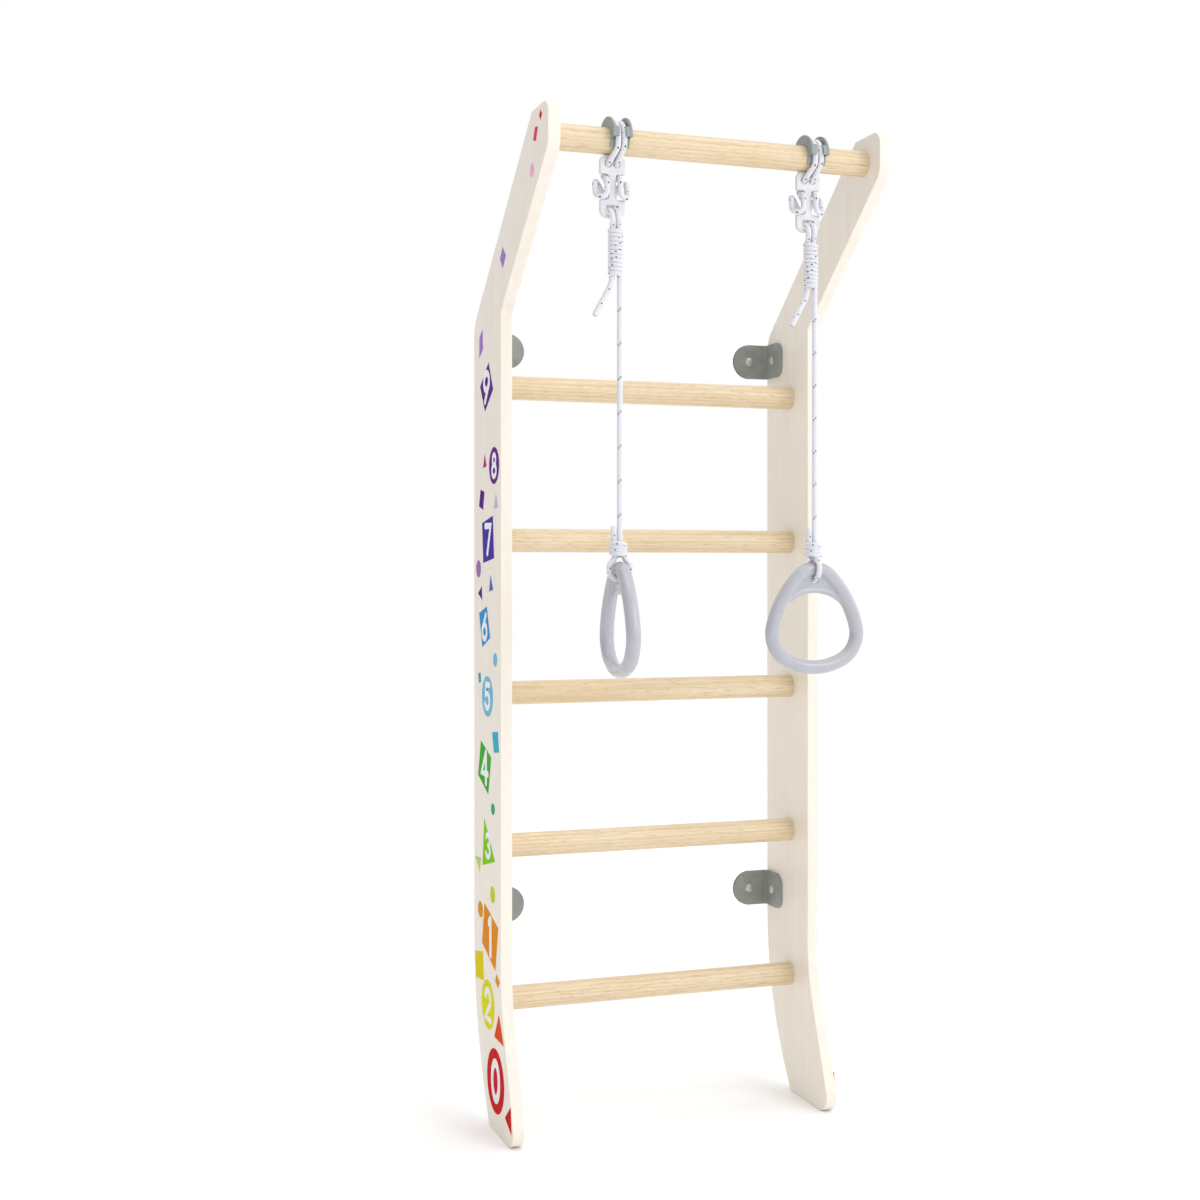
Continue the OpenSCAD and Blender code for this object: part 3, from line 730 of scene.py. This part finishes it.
BRACKET_LOW, BRACKET_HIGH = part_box("upper_right_bracket")
BRACKET_H = (BRACKET_HIGH.z - BRACKET_LOW.z) / MM
WALL_LEG = (BRACKET_HIGH.x - BRACKET_LOW.x) / MM
SIDE_LEG = (BRACKET_HIGH.y - BRACKET_LOW.y) / MM
BRACKET_T, SIDE_SCREW_Y, SIDE_CORNER = 4, 26, 17
WALL_SCREW_D, SIDE_SCREW_D, HOLE_GAP = 5, 4, 0.2
WALL_SCREW_LEN, SIDE_SCREW_LEN = 49, 18
HEAD_R, HEAD_H, PITCH = 7 * MM, 4.5 * MM, 1.4 * MM
WALL_SCREW_X = -(WALL_LEG - BRACKET_H / 2)


def make_brackets():
    half = BRACKET_H / 2
    bend = plate([rounded([(0, 0, 6), (-WALL_LEG, 0, 0.01), (-WALL_LEG, -BRACKET_T, 0.01),
        (-BRACKET_T, -BRACKET_T, 2), (-BRACKET_T, -SIDE_LEG, 0.01), (0, -SIDE_LEG, 0.01)])],
        BRACKET_H * MM, 0.01 * MM, 1)
    def leg_shape(leg, corner_r, place):
        outline = rounded([(-leg, -half, corner_r), (20, -half - 0.01, 1),
            (20, half + 0.01, 1), (-leg, half, corner_r)])
        return moved(plate([outline], 0.3, 0.001 * MM, 1), place)
    bend = combine(bend, "INTERSECT", [leg_shape(WALL_LEG, half - 0.01, Z_BACK),
        leg_shape(SIDE_LEG, SIDE_CORNER, X_OUT)])
    def drill(screw_d, place):
        r = (screw_d / 2 + HOLE_GAP) * MM
        return moved(lathe([(0, -0.03), (r, -0.03), (r, 0.03), (0, 0.03)], 32), place)
    wall_hole = drill(WALL_SCREW_D, Matrix.Translation((WALL_SCREW_X * MM, 0, 0)) @ Z_BACK)
    side_hole = drill(SIDE_SCREW_D, Matrix.Translation((0, -SIDE_SCREW_Y * MM, 0)) @ X_OUT)
    bend = bevelled(combine(bend, "DIFFERENCE", [wall_hole, side_hole]), 0.5 * MM, 2)
    for level in ("lower", "upper"):
        z = middle(f"{level}_right_bracket").z
        right = moved(bend, Matrix.Translation((INNER_X, 0, z)))
        for side, mesh in (("right", right), ("left", moved(right, MIRROR_X))):
            piece(f"{level}_{side}_bracket_plate", mesh, "frame", [BRACKET],
                [f"{level}_{side}_bracket"], sharp=30)


def screw_mesh(shank_d, reach):
    """A pan-head screw, its seat at z 0, its shank along +Z, with a cross drive."""
    dome_r = (HEAD_R ** 2 + HEAD_H ** 2) / (2 * HEAD_H)
    limit = math.asin(HEAD_R / dome_r)
    dome = [(dome_r * math.sin(limit * i / 10), -HEAD_H + dome_r * (1 - math.cos(limit * i / 10)))
        for i in range(10)]
    root, thread = shank_d / 2 * 0.86, []
    for i in range(int((reach - 6 * MM) / PITCH)):
        z = 1.5 * MM + i * PITCH
        thread += [(root, z), (shank_d / 2, z + PITCH * 0.45), (root, z + PITCH * 0.9)]
    profile = dome + [(HEAD_R * 0.985, -0.5 * MM), (HEAD_R * 0.96, 0), (shank_d / 2, 0),
        (root, 1.2 * MM)] + thread + [(root, reach - 3.4 * MM), (0.4 * MM, reach), (0, reach)]
    body = lathe(profile, 40)
    slots = []
    for turn in (0, math.pi / 2):
        block = bmesh.new()
        bmesh.ops.create_cube(block, size=1)
        slot = bpy.data.meshes.new("slot")
        block.to_mesh(slot)
        block.free()
        size = Matrix.Diagonal((1.2 * MM, 6 * MM, 3.2 * MM, 1))
        place = Matrix.Translation((0, 0, -HEAD_H)) @ Matrix.Rotation(turn, 4, "Z")
        slots.append(moved(slot, place @ size))
    return combine(body, "DIFFERENCE", slots)


def make_screws():
    levels = [middle(f"{level}_right_bracket").z for level in ("lower", "upper")]
    seat = BRACKET_T * MM
    wall_one = screw_mesh(WALL_SCREW_D * MM, WALL_SCREW_LEN * MM)
    side_one = screw_mesh(SIDE_SCREW_D * MM, SIDE_SCREW_LEN * MM)
    wall, side = [], []
    into_wall = Matrix.Rotation(-math.pi / 2, 4, "X")
    for z in levels:
        for sign in (-1, 1):
            wall.append(moved(wall_one, Matrix.Translation((sign * (INNER_X + WALL_SCREW_X * MM),
                -seat, z)) @ into_wall @ Matrix.Rotation(0.4 * sign + 9 * z, 4, "Z")))
            side.append(moved(side_one, Matrix.Translation((sign * (INNER_X - seat),
                -SIDE_SCREW_Y * MM, z)) @ Matrix.Rotation(sign * math.pi / 2, 4, "Y")
                @ Matrix.Rotation(0.7 * sign + 5 * z, 4, "Z")))
    piece("wall_screws_zinc", joined(wall), "frame", [SCREW], ["wall_screws"])
    piece("side_screws_zinc", joined(side), "frame", [SCREW], ["side_screws"])


make_brackets()
make_screws()

# ---- saddles and adjusters

SADDLE_W, SHELL_T, RUN_GAP, FLANGE_T = 27, 1.8, 0.3, 3
FLANGE_R = BAR_R / MM + 14.5
TAB_R, TAB_W, TAB_SWEEP = SLING_R + 4.9, 8.5, 26
SHELL_WRAP = 37


def make_saddles():
    inner = BAR_R / MM + RUN_GAP
    half = SADDLE_W / 2
    shell = arc_block(inner * MM, (inner + SHELL_T) * MM, -half * MM, half * MM,
        90 - SHELL_WRAP, 180 + 2 * SHELL_WRAP, 84)
    extra = []
    for sign in (-1, 1):
        span = sorted((sign * half * MM, sign * (half - FLANGE_T) * MM))
        extra.append(arc_block((inner + SHELL_T / 2) * MM, FLANGE_R * MM, *span, 90, 180, 60))
        span = sorted((sign * (half - FLANGE_T / 2) * MM, sign * (half - TAB_W) * MM))
        for start in (91, 269 - TAB_SWEEP):
            extra.append(arc_block(TAB_R * MM, (FLANGE_R - 0.5) * MM, *span, start, TAB_SWEEP, 10))
    whole = bevelled(combine(shell, "UNION", extra), 0.55 * MM, 3, 50)
    for side in SIDES:
        mesh = moved(whole, Matrix.Translation((HANGER_X[side], BAR_MID.y, BAR_MID.z)))
        piece(side + "_saddle_clip", mesh, side + "_saddle", [SADDLE],
            [side + "_saddle"], sharp=40)


# The adjuster in millimetres from the bar's axis: half widths, and heights of its ends, its
# side notches, its two holes and its eyelet
PLATE_W, PLATE_WEB, PLATE_TOP, PLATE_BOTTOM, PLATE_T = 18, 5, -19, -104, 6
NOTCH_TOP, NOTCH_BOTTOM = -45, -79
HOLE_X, HOLE_Z, LACE_HOLE_R = 6.2, -31, 4.9
EYELET_W, EYELET_TOP, EYELET_BOTTOM = 8.5, -87, -100


def make_adjusters():
    right = [(PLATE_W, PLATE_TOP, 9), (PLATE_W, NOTCH_TOP, 2), (PLATE_WEB, NOTCH_TOP, 4),
        (PLATE_WEB, NOTCH_BOTTOM, 4), (PLATE_W, NOTCH_BOTTOM, 2), (PLATE_W, PLATE_BOTTOM, 11)]
    outline = rounded([(-x, z, r) for x, z, r in reversed(right)] + right)
    holes = [oval(x, HOLE_Z, LACE_HOLE_R, LACE_HOLE_R) for x in (-HOLE_X, HOLE_X)]
    holes.append(rounded([(-EYELET_W, EYELET_TOP, 1.5), (EYELET_W, EYELET_TOP, 1.5),
        (EYELET_W, EYELET_BOTTOM, 5.5), (-EYELET_W, EYELET_BOTTOM, 5.5)]))
    flat = moved(plate([outline] + holes, PLATE_T * MM, 1.1 * MM, 4), Z_BACK)
    for side in SIDES:
        x = HANGER_X[side] - ADJUSTER_SHIFT * MM
        mesh = moved(flat, Matrix.Translation((x, BAR_MID.y, BAR_MID.z)))
        piece(side + "_adjuster_plate", mesh, side + "_sling", [PLATE],
            [side + "_adjuster"])


make_saddles()
make_adjusters()

# ---- hand rings

RING_W, RING_H, GRIP_R = 152, 159, 10
APEX_R, CORNER_R, SIDE_R, CORNER_RISE = 34, 42, 150, 48
WEB_T, WEB_REACH, WEB_R, HOLE_R = 5, 34, 63, 5.5
BEAD_R, BLEND, RIM = 3.3, 2.6, 1.0


ARC_STEPS = 60


def ring_centreline():
    """The grip's centreline in millimetres, closed, from its lowest point, in the XY plane with
    its top at the origin."""
    low = RING_H - 2 * GRIP_R
    apex, corner_c = np.array((0, -APEX_R)), np.array((RING_W / 2 - GRIP_R - CORNER_R,
        CORNER_RISE - low))
    square = corner_c[0] ** 2 + CORNER_RISE ** 2 - CORNER_R ** 2
    bottom_r = square / (2 * (CORNER_RISE - CORNER_R))
    bottom = np.array((0, bottom_r - low))
    to_apex, to_corner = SIDE_R - APEX_R, SIDE_R - CORNER_R
    gap = corner_c - apex
    d = np.linalg.norm(gap)
    along = (to_apex ** 2 - to_corner ** 2 + d ** 2) / (2 * d)
    off = math.sqrt(to_apex ** 2 - along ** 2)
    side = apex + along * gap / d + off * np.array((gap[1], -gap[0])) / d
    def angle(a, b):
        return math.atan2(b[1] - a[1], b[0] - a[0])
    def arc(centre, r, start, end):
        a = np.linspace(start, end, ARC_STEPS, endpoint=False)
        return centre + r * np.stack([np.cos(a), np.sin(a)], axis=1)
    turns = [-math.pi / 2, angle(bottom, corner_c), angle(side, corner_c), angle(side, apex),
        math.pi / 2]
    half = np.vstack([arc(bottom, bottom_r, turns[0], turns[1]),
        arc(corner_c, CORNER_R, turns[1], turns[2]), arc(side, SIDE_R, turns[2], turns[3]),
        arc(apex, APEX_R, turns[3], turns[4]), [[0, 0]]])
    return np.vstack([half, (half * (-1, 1))[-2:0:-1]])


def soft_min(a, b, k):
    h = np.clip(0.5 + 0.5 * (b - a) / k, 0, 1)
    return b * (1 - h) + a * h - k * h * (1 - h)


def ring_field(line):
    """A function that gives a point's distance outside the ring's surface, in millimetres."""
    start, end = line, np.roll(line, -1, axis=0)
    run = end - start
    square = (run ** 2).sum(1)
    web_c, hole_c = np.array((0, -WEB_REACH - WEB_R)), np.array((0, -EYE_R))

    def field(p):
        flat, depth = p[:, :2], np.abs(p[:, 2])
        near = np.full(len(p), 1e9)
        inside = np.zeros(len(p), bool)
        for s, e, r, q in zip(start, end, run, square):
            t = np.clip(((flat - s) @ r) / q, 0, 1)
            near = np.minimum(near, ((flat - s - t[:, None] * r) ** 2).sum(1))
            crosses = (s[1] > flat[:, 1]) != (e[1] > flat[:, 1])
            if crosses.any():
                at = s[0] + (flat[:, 1] - s[1]) * r[0] / (r[1] if r[1] else 1e-9)
                inside ^= crosses & (flat[:, 0] < at)
        near = np.sqrt(near)
        grip = np.hypot(near, depth) - GRIP_R
        to_web = np.linalg.norm(flat - web_c, axis=1)
        to_hole = np.linalg.norm(flat - hole_c, axis=1)
        web = -soft_min(-(depth - WEB_T / 2), -np.maximum(WEB_R - to_web, HOLE_R - to_hole), RIM)
        bead = np.hypot(to_web - WEB_R - BEAD_R, depth) - BEAD_R
        web = soft_min(web, bead, 1.5)
        loop = np.where(inside, -near, near)
        return soft_min(grip, np.maximum(web, loop), BLEND)
    return field


def ring_mesh():
    """The ring as one smooth skin: a coarse union, remeshed, then moved onto its true surface."""
    line = ring_centreline()
    count, sides = len(line), 32
    heading = unit(np.roll(line, -1, axis=0) - np.roll(line, 1, axis=0))
    vertices, faces = [], []
    for i in range(count):
        out = np.array((heading[i][1], -heading[i][0], 0))
        for k in range(sides):
            a = math.tau * k / sides
            vertices.append(np.array((*line[i], 0)) + GRIP_R * (math.cos(a) * out
                + math.sin(a) * np.array((0, 0, 1))))
            faces.append((i * sides + k, (i + 1) % count * sides + k,
                (i + 1) % count * sides + (k + 1) % sides, i * sides + (k + 1) % sides))
    grip = mesh_of(np.array(vertices) * MM, faces)
    edge = [Vector((WEB_R * math.sin(math.radians(a)), -WEB_REACH - WEB_R
        + WEB_R * math.cos(math.radians(a)))) * MM for a in range(-50, 51, 4)]
    over = [Vector(p) * MM for p in line if p[1] > edge[0].y / MM]
    over = sorted(over, key=lambda p: -math.atan2(p.x, p.y + 0.045))
    web = plate([edge + over, oval(0, -EYE_R, HOLE_R, HOLE_R)], WEB_T * MM, 0.3 * MM, 1)
    obj = working(joined([grip, web]))
    remesh = obj.modifiers.new("remesh", "REMESH")
    remesh.mode, remesh.voxel_size = "VOXEL", 1.0 * MM
    smooth = obj.modifiers.new("smooth", "SMOOTH")
    smooth.iterations, smooth.factor = 4, 0.5
    mesh = evaluated(obj)
    p = np.zeros(len(mesh.vertices) * 3)
    mesh.vertices.foreach_get("co", p)
    p = p.reshape(-1, 3) / MM
    field, tiny = ring_field(line), 0.02
    for _ in range(4):
        here = field(p)
        slope = np.stack([(field(p + tiny * axis) - here) / tiny for axis in np.eye(3)], axis=1)
        slope /= np.maximum(np.linalg.norm(slope, axis=1), 0.3)[:, None]
        p -= np.clip(here, -1.5, 1.5)[:, None] * slope
    mesh.vertices.foreach_set("co", (p * MM).ravel())
    mesh.update()
    return mesh


def make_rings():
    shape = ring_mesh()
    for side in SIDES:
        place = Matrix.Translation((ROPE_X[side], BAR_MID.y, BAR_MID.z + APEX * MM))
        place = place @ Matrix.Rotation(RING_TURN[side], 4, "Z")
        place = place @ Matrix.Rotation(math.pi / 2, 4, "X")
        piece(side + "_hand_ring", moved(shape, place), side + "_ring", [RING],
            [side + "_ring"], sharp=0, weighted=False)


make_rings()

# ---- printed shapes and digits

INKS = {
    "red": (204, 0, 4), "orange_red": (226, 76, 4), "orange": (230, 142, 0),
    "amber": (222, 152, 28), "yellow": (226, 208, 0), "yellow_lime": (226, 222, 4),
    "lime": (134, 204, 6), "lime_yellow": (202, 214, 44), "pale_lime": (190, 218, 112),
    "green": (62, 176, 32), "teal_green": (52, 170, 116), "cyan": (62, 180, 204),
    "light_blue": (124, 190, 220), "teal": (72, 164, 190), "blue": (60, 146, 204),
    "indigo": (70, 48, 160), "blue_violet": (100, 98, 188), "dark_purple": (84, 24, 128),
    "purple": (100, 30, 138), "soft_purple": (166, 128, 204), "mauve": (166, 112, 182),
    "lilac": (192, 182, 226), "magenta": (196, 26, 116), "pink_red": (222, 60, 104),
    "pink": (240, 182, 216), "white": (246, 244, 248)}
# Shape corners in a unit square, as [towards the front, up]
ROUND = None
DIAMOND = [(0.45, 1), (1, 0.5), (0.45, 0), (0, 0.5)]
LEANING = [(0.4, 1), (1, 0.87), (0.6, 0), (0, 0.18)]
PRINTS = [
    # ink, distance from the wall, height above the feet, width, height, corners, any digit
    ("red", 341, 1417, 13, 14, DIAMOND),
    ("pink_red", 318, 1397, 22, 20, LEANING),
    ("pink", 302, 1352, 18, 19, ROUND),
    ("soft_purple", 160, 1260, 31, 31, DIAMOND),
    ("soft_purple", 38, 1152, 29, 42, [(0.3, 0.74), (0.9, 1), (1, 0.28), (0.25, 0)]),
    ("purple", 72, 1084, 72, 71, [(0.65, 1), (1, 0.41), (0.38, 0), (0, 0.56)], 9),
    ("magenta", 62, 976, 20, 21, [(0.5, 1), (1, 0.1), (0, 0)]),
    ("purple", 113, 966, 54, 54, ROUND, 8),
    ("dark_purple", 45, 919, 31, 31, [(0.3, 1), (1, 0.85), (0.75, 0), (0, 0.2)]),
    ("lilac", 123, 914, 22, 23, [(0.5, 1), (1, 0.12), (0, 0)]),
    ("indigo", 80, 859, 66, 69, [(0, 0.86), (0.9, 1), (1, 0.1), (0.1, 0)], 7),
    ("mauve", 27, 816, 27, 26, ROUND),
    ("blue_violet", 97, 795, 22, 25, [(0.35, 1), (1, 0.12), (0, 0)]),
    ("dark_purple", 36, 780, 23, 21, [(0.9, 1), (1, 0), (0, 0.45)]),
    ("blue", 61, 730, 62, 61, [(0, 0.82), (0.7, 1), (1, 0.25), (0.3, 0)], 6),
    ("light_blue", 119, 684, 22, 20, ROUND),
    ("teal", 33, 653, 17, 16, [(0, 0.9), (0.85, 1), (1, 0.1), (0.2, 0)]),
    ("light_blue", 77, 628, 61, 60, ROUND, 5),
    ("cyan", 121, 565, 37, 33, [(0, 0.88), (0.85, 1), (1, 0.1), (0.25, 0)]),
    ("green", 61, 522, 73, 76, [(0.22, 1), (1, 0.74), (0.78, 0), (0, 0.3)], 4),
    ("teal_green", 107, 466, 20, 17, ROUND),
    ("lime", 81, 411, 74, 72, [(0.2, 1), (1, 0.22), (0.08, 0)], 3),
    ("pale_lime", 24, 373, 33, 23, [(0, 0.9), (1, 1), (0.8, 0)]),
    ("lime_yellow", 105, 341, 26, 25, ROUND),
    ("amber", 38, 307, 28, 24, ROUND),
    ("orange", 91, 277, 88, 88, [(0.15, 1), (1, 0.74), (0.83, 0), (0, 0.3)], 1),
    ("yellow", 32, 223, 50, 43, [(0, 0.86), (0.9, 1.06), (1, 0.08), (0.1, -0.04)]),
    ("amber", 131, 221, 24, 19, [(0.25, 1), (1, 0.57), (0.65, 0), (0, 0.35)]),
    ("yellow_lime", 80, 175, 71, 72, ROUND, 2),
    ("orange_red", 139, 154, 50, 43, [(0.5, 1), (1, 0.07), (0, 0.1)]),
    ("red", 121, 74, 91, 93, ROUND, 0),
    ("red", 187, 40, 34, 37, [(0.85, 1.04), (1, 0), (0, 0.4)])]
PRINT_T = 0.12 * MM
DIGIT_H, DIGIT_W, STROKE = 0.58, 0.46, 0.14
TRIANGLE_DROP, TRIANGLE_SHRINK = 0.04, 0.78


def bow(x, y, rx, ry, start, end, count=14):
    """Points of an elliptical arc, its angles in degrees."""
    return [(x + rx * math.cos(math.radians(start + (end - start) * i / count)),
        y + ry * math.sin(math.radians(start + (end - start) * i / count)))
        for i in range(count + 1)]


# Each digit in a box from 0 to 1 both ways: its open strokes, then its closed loops as
# (x, y, half width, half height)
DIGITS = {
    0: ([], [(0.5, 0.5, 0.42, 0.48)]),
    1: ([[(0.56, 1), (0.56, 0)], [(0.38, 0.88), (0.56, 1)]], []),
    2: ([bow(0.48, 0.7, 0.4, 0.3, 165, -35) + [(0.06, 0), (0.95, 0)]], []),
    3: ([bow(0.42, 0.75, 0.38, 0.25, 150, -70), bow(0.42, 0.27, 0.44, 0.27, 80, -150)], []),
    4: ([[(0.98, 0.3), (0.04, 0.3), (0.72, 1)], [(0.72, 1), (0.72, 0)]], []),
    5: ([[(0.88, 1), (0.2, 1), (0.14, 0.58)] + bow(0.44, 0.32, 0.44, 0.32, 110, -150)], []),
    6: ([[(0.74, 1), (0.14, 0.42)]], [(0.5, 0.3, 0.42, 0.3)]),
    7: ([[(0.04, 1), (0.94, 1), (0.4, 0)]], []),
    8: ([], [(0.5, 0.76, 0.32, 0.24), (0.5, 0.26, 0.42, 0.27)]),
    9: ([[(0.86, 0.58), (0.26, 0)]], [(0.5, 0.7, 0.42, 0.3)])}


def ribbon(points, width, capped=True):
    """The outline of a flat stroke of even width, its joints mitred and its ends round."""
    line = [Vector(p) for p in points]
    runs = [(b - a).normalized() for a, b in zip(line, line[1:])]
    left, right = [], []
    for i, p in enumerate(line):
        before, after = runs[max(i - 1, 0)], runs[min(i, len(runs) - 1)]
        across = (before + after).normalized().orthogonal()
        across = across * min(1.6, 1 / max(0.3, across.dot(after.orthogonal()))) * width / 2
        left.append(p + across)
        right.append(p - across)
    turns = [math.pi * k / 10 for k in range(1, 10)] if capped else []
    def cap(middle, edge):
        arm = edge - middle
        return [middle + Vector((arm.x * math.cos(t) + arm.y * math.sin(t),
            arm.y * math.cos(t) - arm.x * math.sin(t))) for t in turns]
    whole = left + cap(line[-1], left[-1]) + right[::-1] + cap(line[0], right[0])
    return [q * MM for q in whole]


def flat_mesh(outlines, low, high):
    """Thin prisms on a board's face, from height low to high above it."""
    vertices, faces = [], []
    for outline in outlines:
        first, count = len(vertices), len(outline)
        for depth in (low, high):
            vertices += [(p[0], p[1], depth) for p in outline]
        faces.append(tuple(first + k for k in range(count))[::-1])
        faces.append(tuple(first + count + k for k in range(count)))
        faces += [(first + k, first + (k + 1) % count, first + count + (k + 1) % count,
            first + count + k) for k in range(count)]
    return mesh_of(vertices, faces)


def make_prints():
    inks = {name: ink_material(name, rgb(*color)) for name, color in INKS.items()}
    shapes, digits = {}, []
    for ink, out, height, wide, tall, corners, *digit in PRINTS:
        if corners:
            outline = [Vector((out + (x - 0.5) * wide, height + (y - 0.5) * tall)) * MM
                for x, y in corners]
        else:
            outline = oval(out, height, wide / 2, tall / 2)
        shapes.setdefault(ink, []).append(outline)
        if digit and corners and len(corners) == 3:
            digits.append((*digit, out, height - TRIANGLE_DROP * tall, TRIANGLE_SHRINK * tall))
        elif digit:
            digits.append((*digit, out, height, tall))
    for side, sign in (("left", -1), ("right", 1)):
        # On a board's outer face, x runs towards the room and z out of the face
        face = Matrix(((0, 0, sign, sign * OUTER_X), (-1, 0, 0, 0), (0, 1, 0, FOOT_Z),
            (0, 0, 0, 1)))
        for ink, outlines in shapes.items():
            mesh = moved(flat_mesh(outlines, -0.05 * MM, PRINT_T), face)
            piece(f"{side}_print_{ink}", mesh, "frame", [inks[ink]], (), 20, False)
        layers = {}
        for digit, out, height, tall in digits:
            opens, loops = DIGITS[digit]
            curves = [(points, True, k) for k, points in enumerate(opens)]
            for k, loop in enumerate(loops):
                curves += [(bow(*loop, start, start + 180, 24), False, len(opens) + k)
                    for start in (0, 180)]
            for points, capped, layer in curves:
                placed = [(out + (x - 0.5) * DIGIT_W * tall * -sign,
                    height + (y - 0.5) * DIGIT_H * tall) for x, y in points]
                outline = ribbon(placed, STROKE * tall, capped)
                layers.setdefault(layer, []).append(outline)
        mesh = joined([flat_mesh(outlines, 0, PRINT_T * (1.4 + 0.6 * layer))
            for layer, outlines in layers.items()])
        mesh = moved(mesh, face)
        piece(f"{side}_print_digits", mesh, "frame", [inks["white"]], (), 20, False)


make_prints()

# ---- floor and light


FLOOR_REACH = 14
# The world's light from the left, as a share of its light from the right
DIM_SIDE = 0.45
SUN_POWER, SUN_ANGLE = 0.7, 50
LIT_PLACE = Vector((0, -0.15, 0.0))
# name, place, side of its square, watts
AREA_LIGHTS = [("key", (1.6, -3.2, 1.9), 1.8, 30), ("side", (3.2, -0.6, 1.2), 2.0, 8)]


def make_studio():
    floor = bpy.data.meshes.new("floor")
    corners = [(x * FLOOR_REACH, y * FLOOR_REACH, FOOT_Z)
        for x, y in ((-1, -1), (1, -1), (1, 1), (-1, 1))]
    floor.from_pydata(corners, [], [(0, 1, 2, 3)])
    n = Nodes("floor_pale")
    floor.materials.append(n.done(rgb(250, 250, 250), 0.9))
    obj = bpy.data.objects.new("floor", floor)
    scene.collection.objects.link(obj)
    world = bpy.data.worlds.new("studio")
    tree = Tree(world)
    direction = tree.add("ShaderNodeTexCoord").outputs["Generated"]
    parts = tree.add("ShaderNodeSeparateXYZ", {0: direction})
    fade = tree.add("ShaderNodeMapRange", {"Value": parts.outputs["X"], "From Min": -0.9,
        "From Max": -0.1, "To Min": DIM_SIDE, "To Max": 1.0}, interpolation_type="SMOOTHSTEP")
    seen = tree.add("ShaderNodeLightPath").outputs["Is Camera Ray"]
    strength = tree.add("ShaderNodeMath", {0: fade.outputs["Result"], 1: seen},
        operation="MAXIMUM")
    background = world.node_tree.nodes["Background"]
    tree.put(background.inputs["Color"], (1, 1, 1, 1))
    tree.put(background.inputs["Strength"], strength.outputs[0])
    scene.world = world
    sun = bpy.data.lights.new("overhead", "SUN")
    sun.energy, sun.angle = SUN_POWER, math.radians(SUN_ANGLE)
    scene.collection.objects.link(bpy.data.objects.new("overhead", sun))
    for name, place, size, power in AREA_LIGHTS:
        data = bpy.data.lights.new(name, "AREA")
        data.shape, data.size, data.energy = "SQUARE", size, power
        light = bpy.data.objects.new(name, data)
        light.location = place
        light.rotation_mode = "QUATERNION"
        light.rotation_quaternion = (LIT_PLACE - Vector(place)).to_track_quat("-Z", "Y")
        scene.collection.objects.link(light)
    scene.view_settings.view_transform = "Standard"


make_studio()
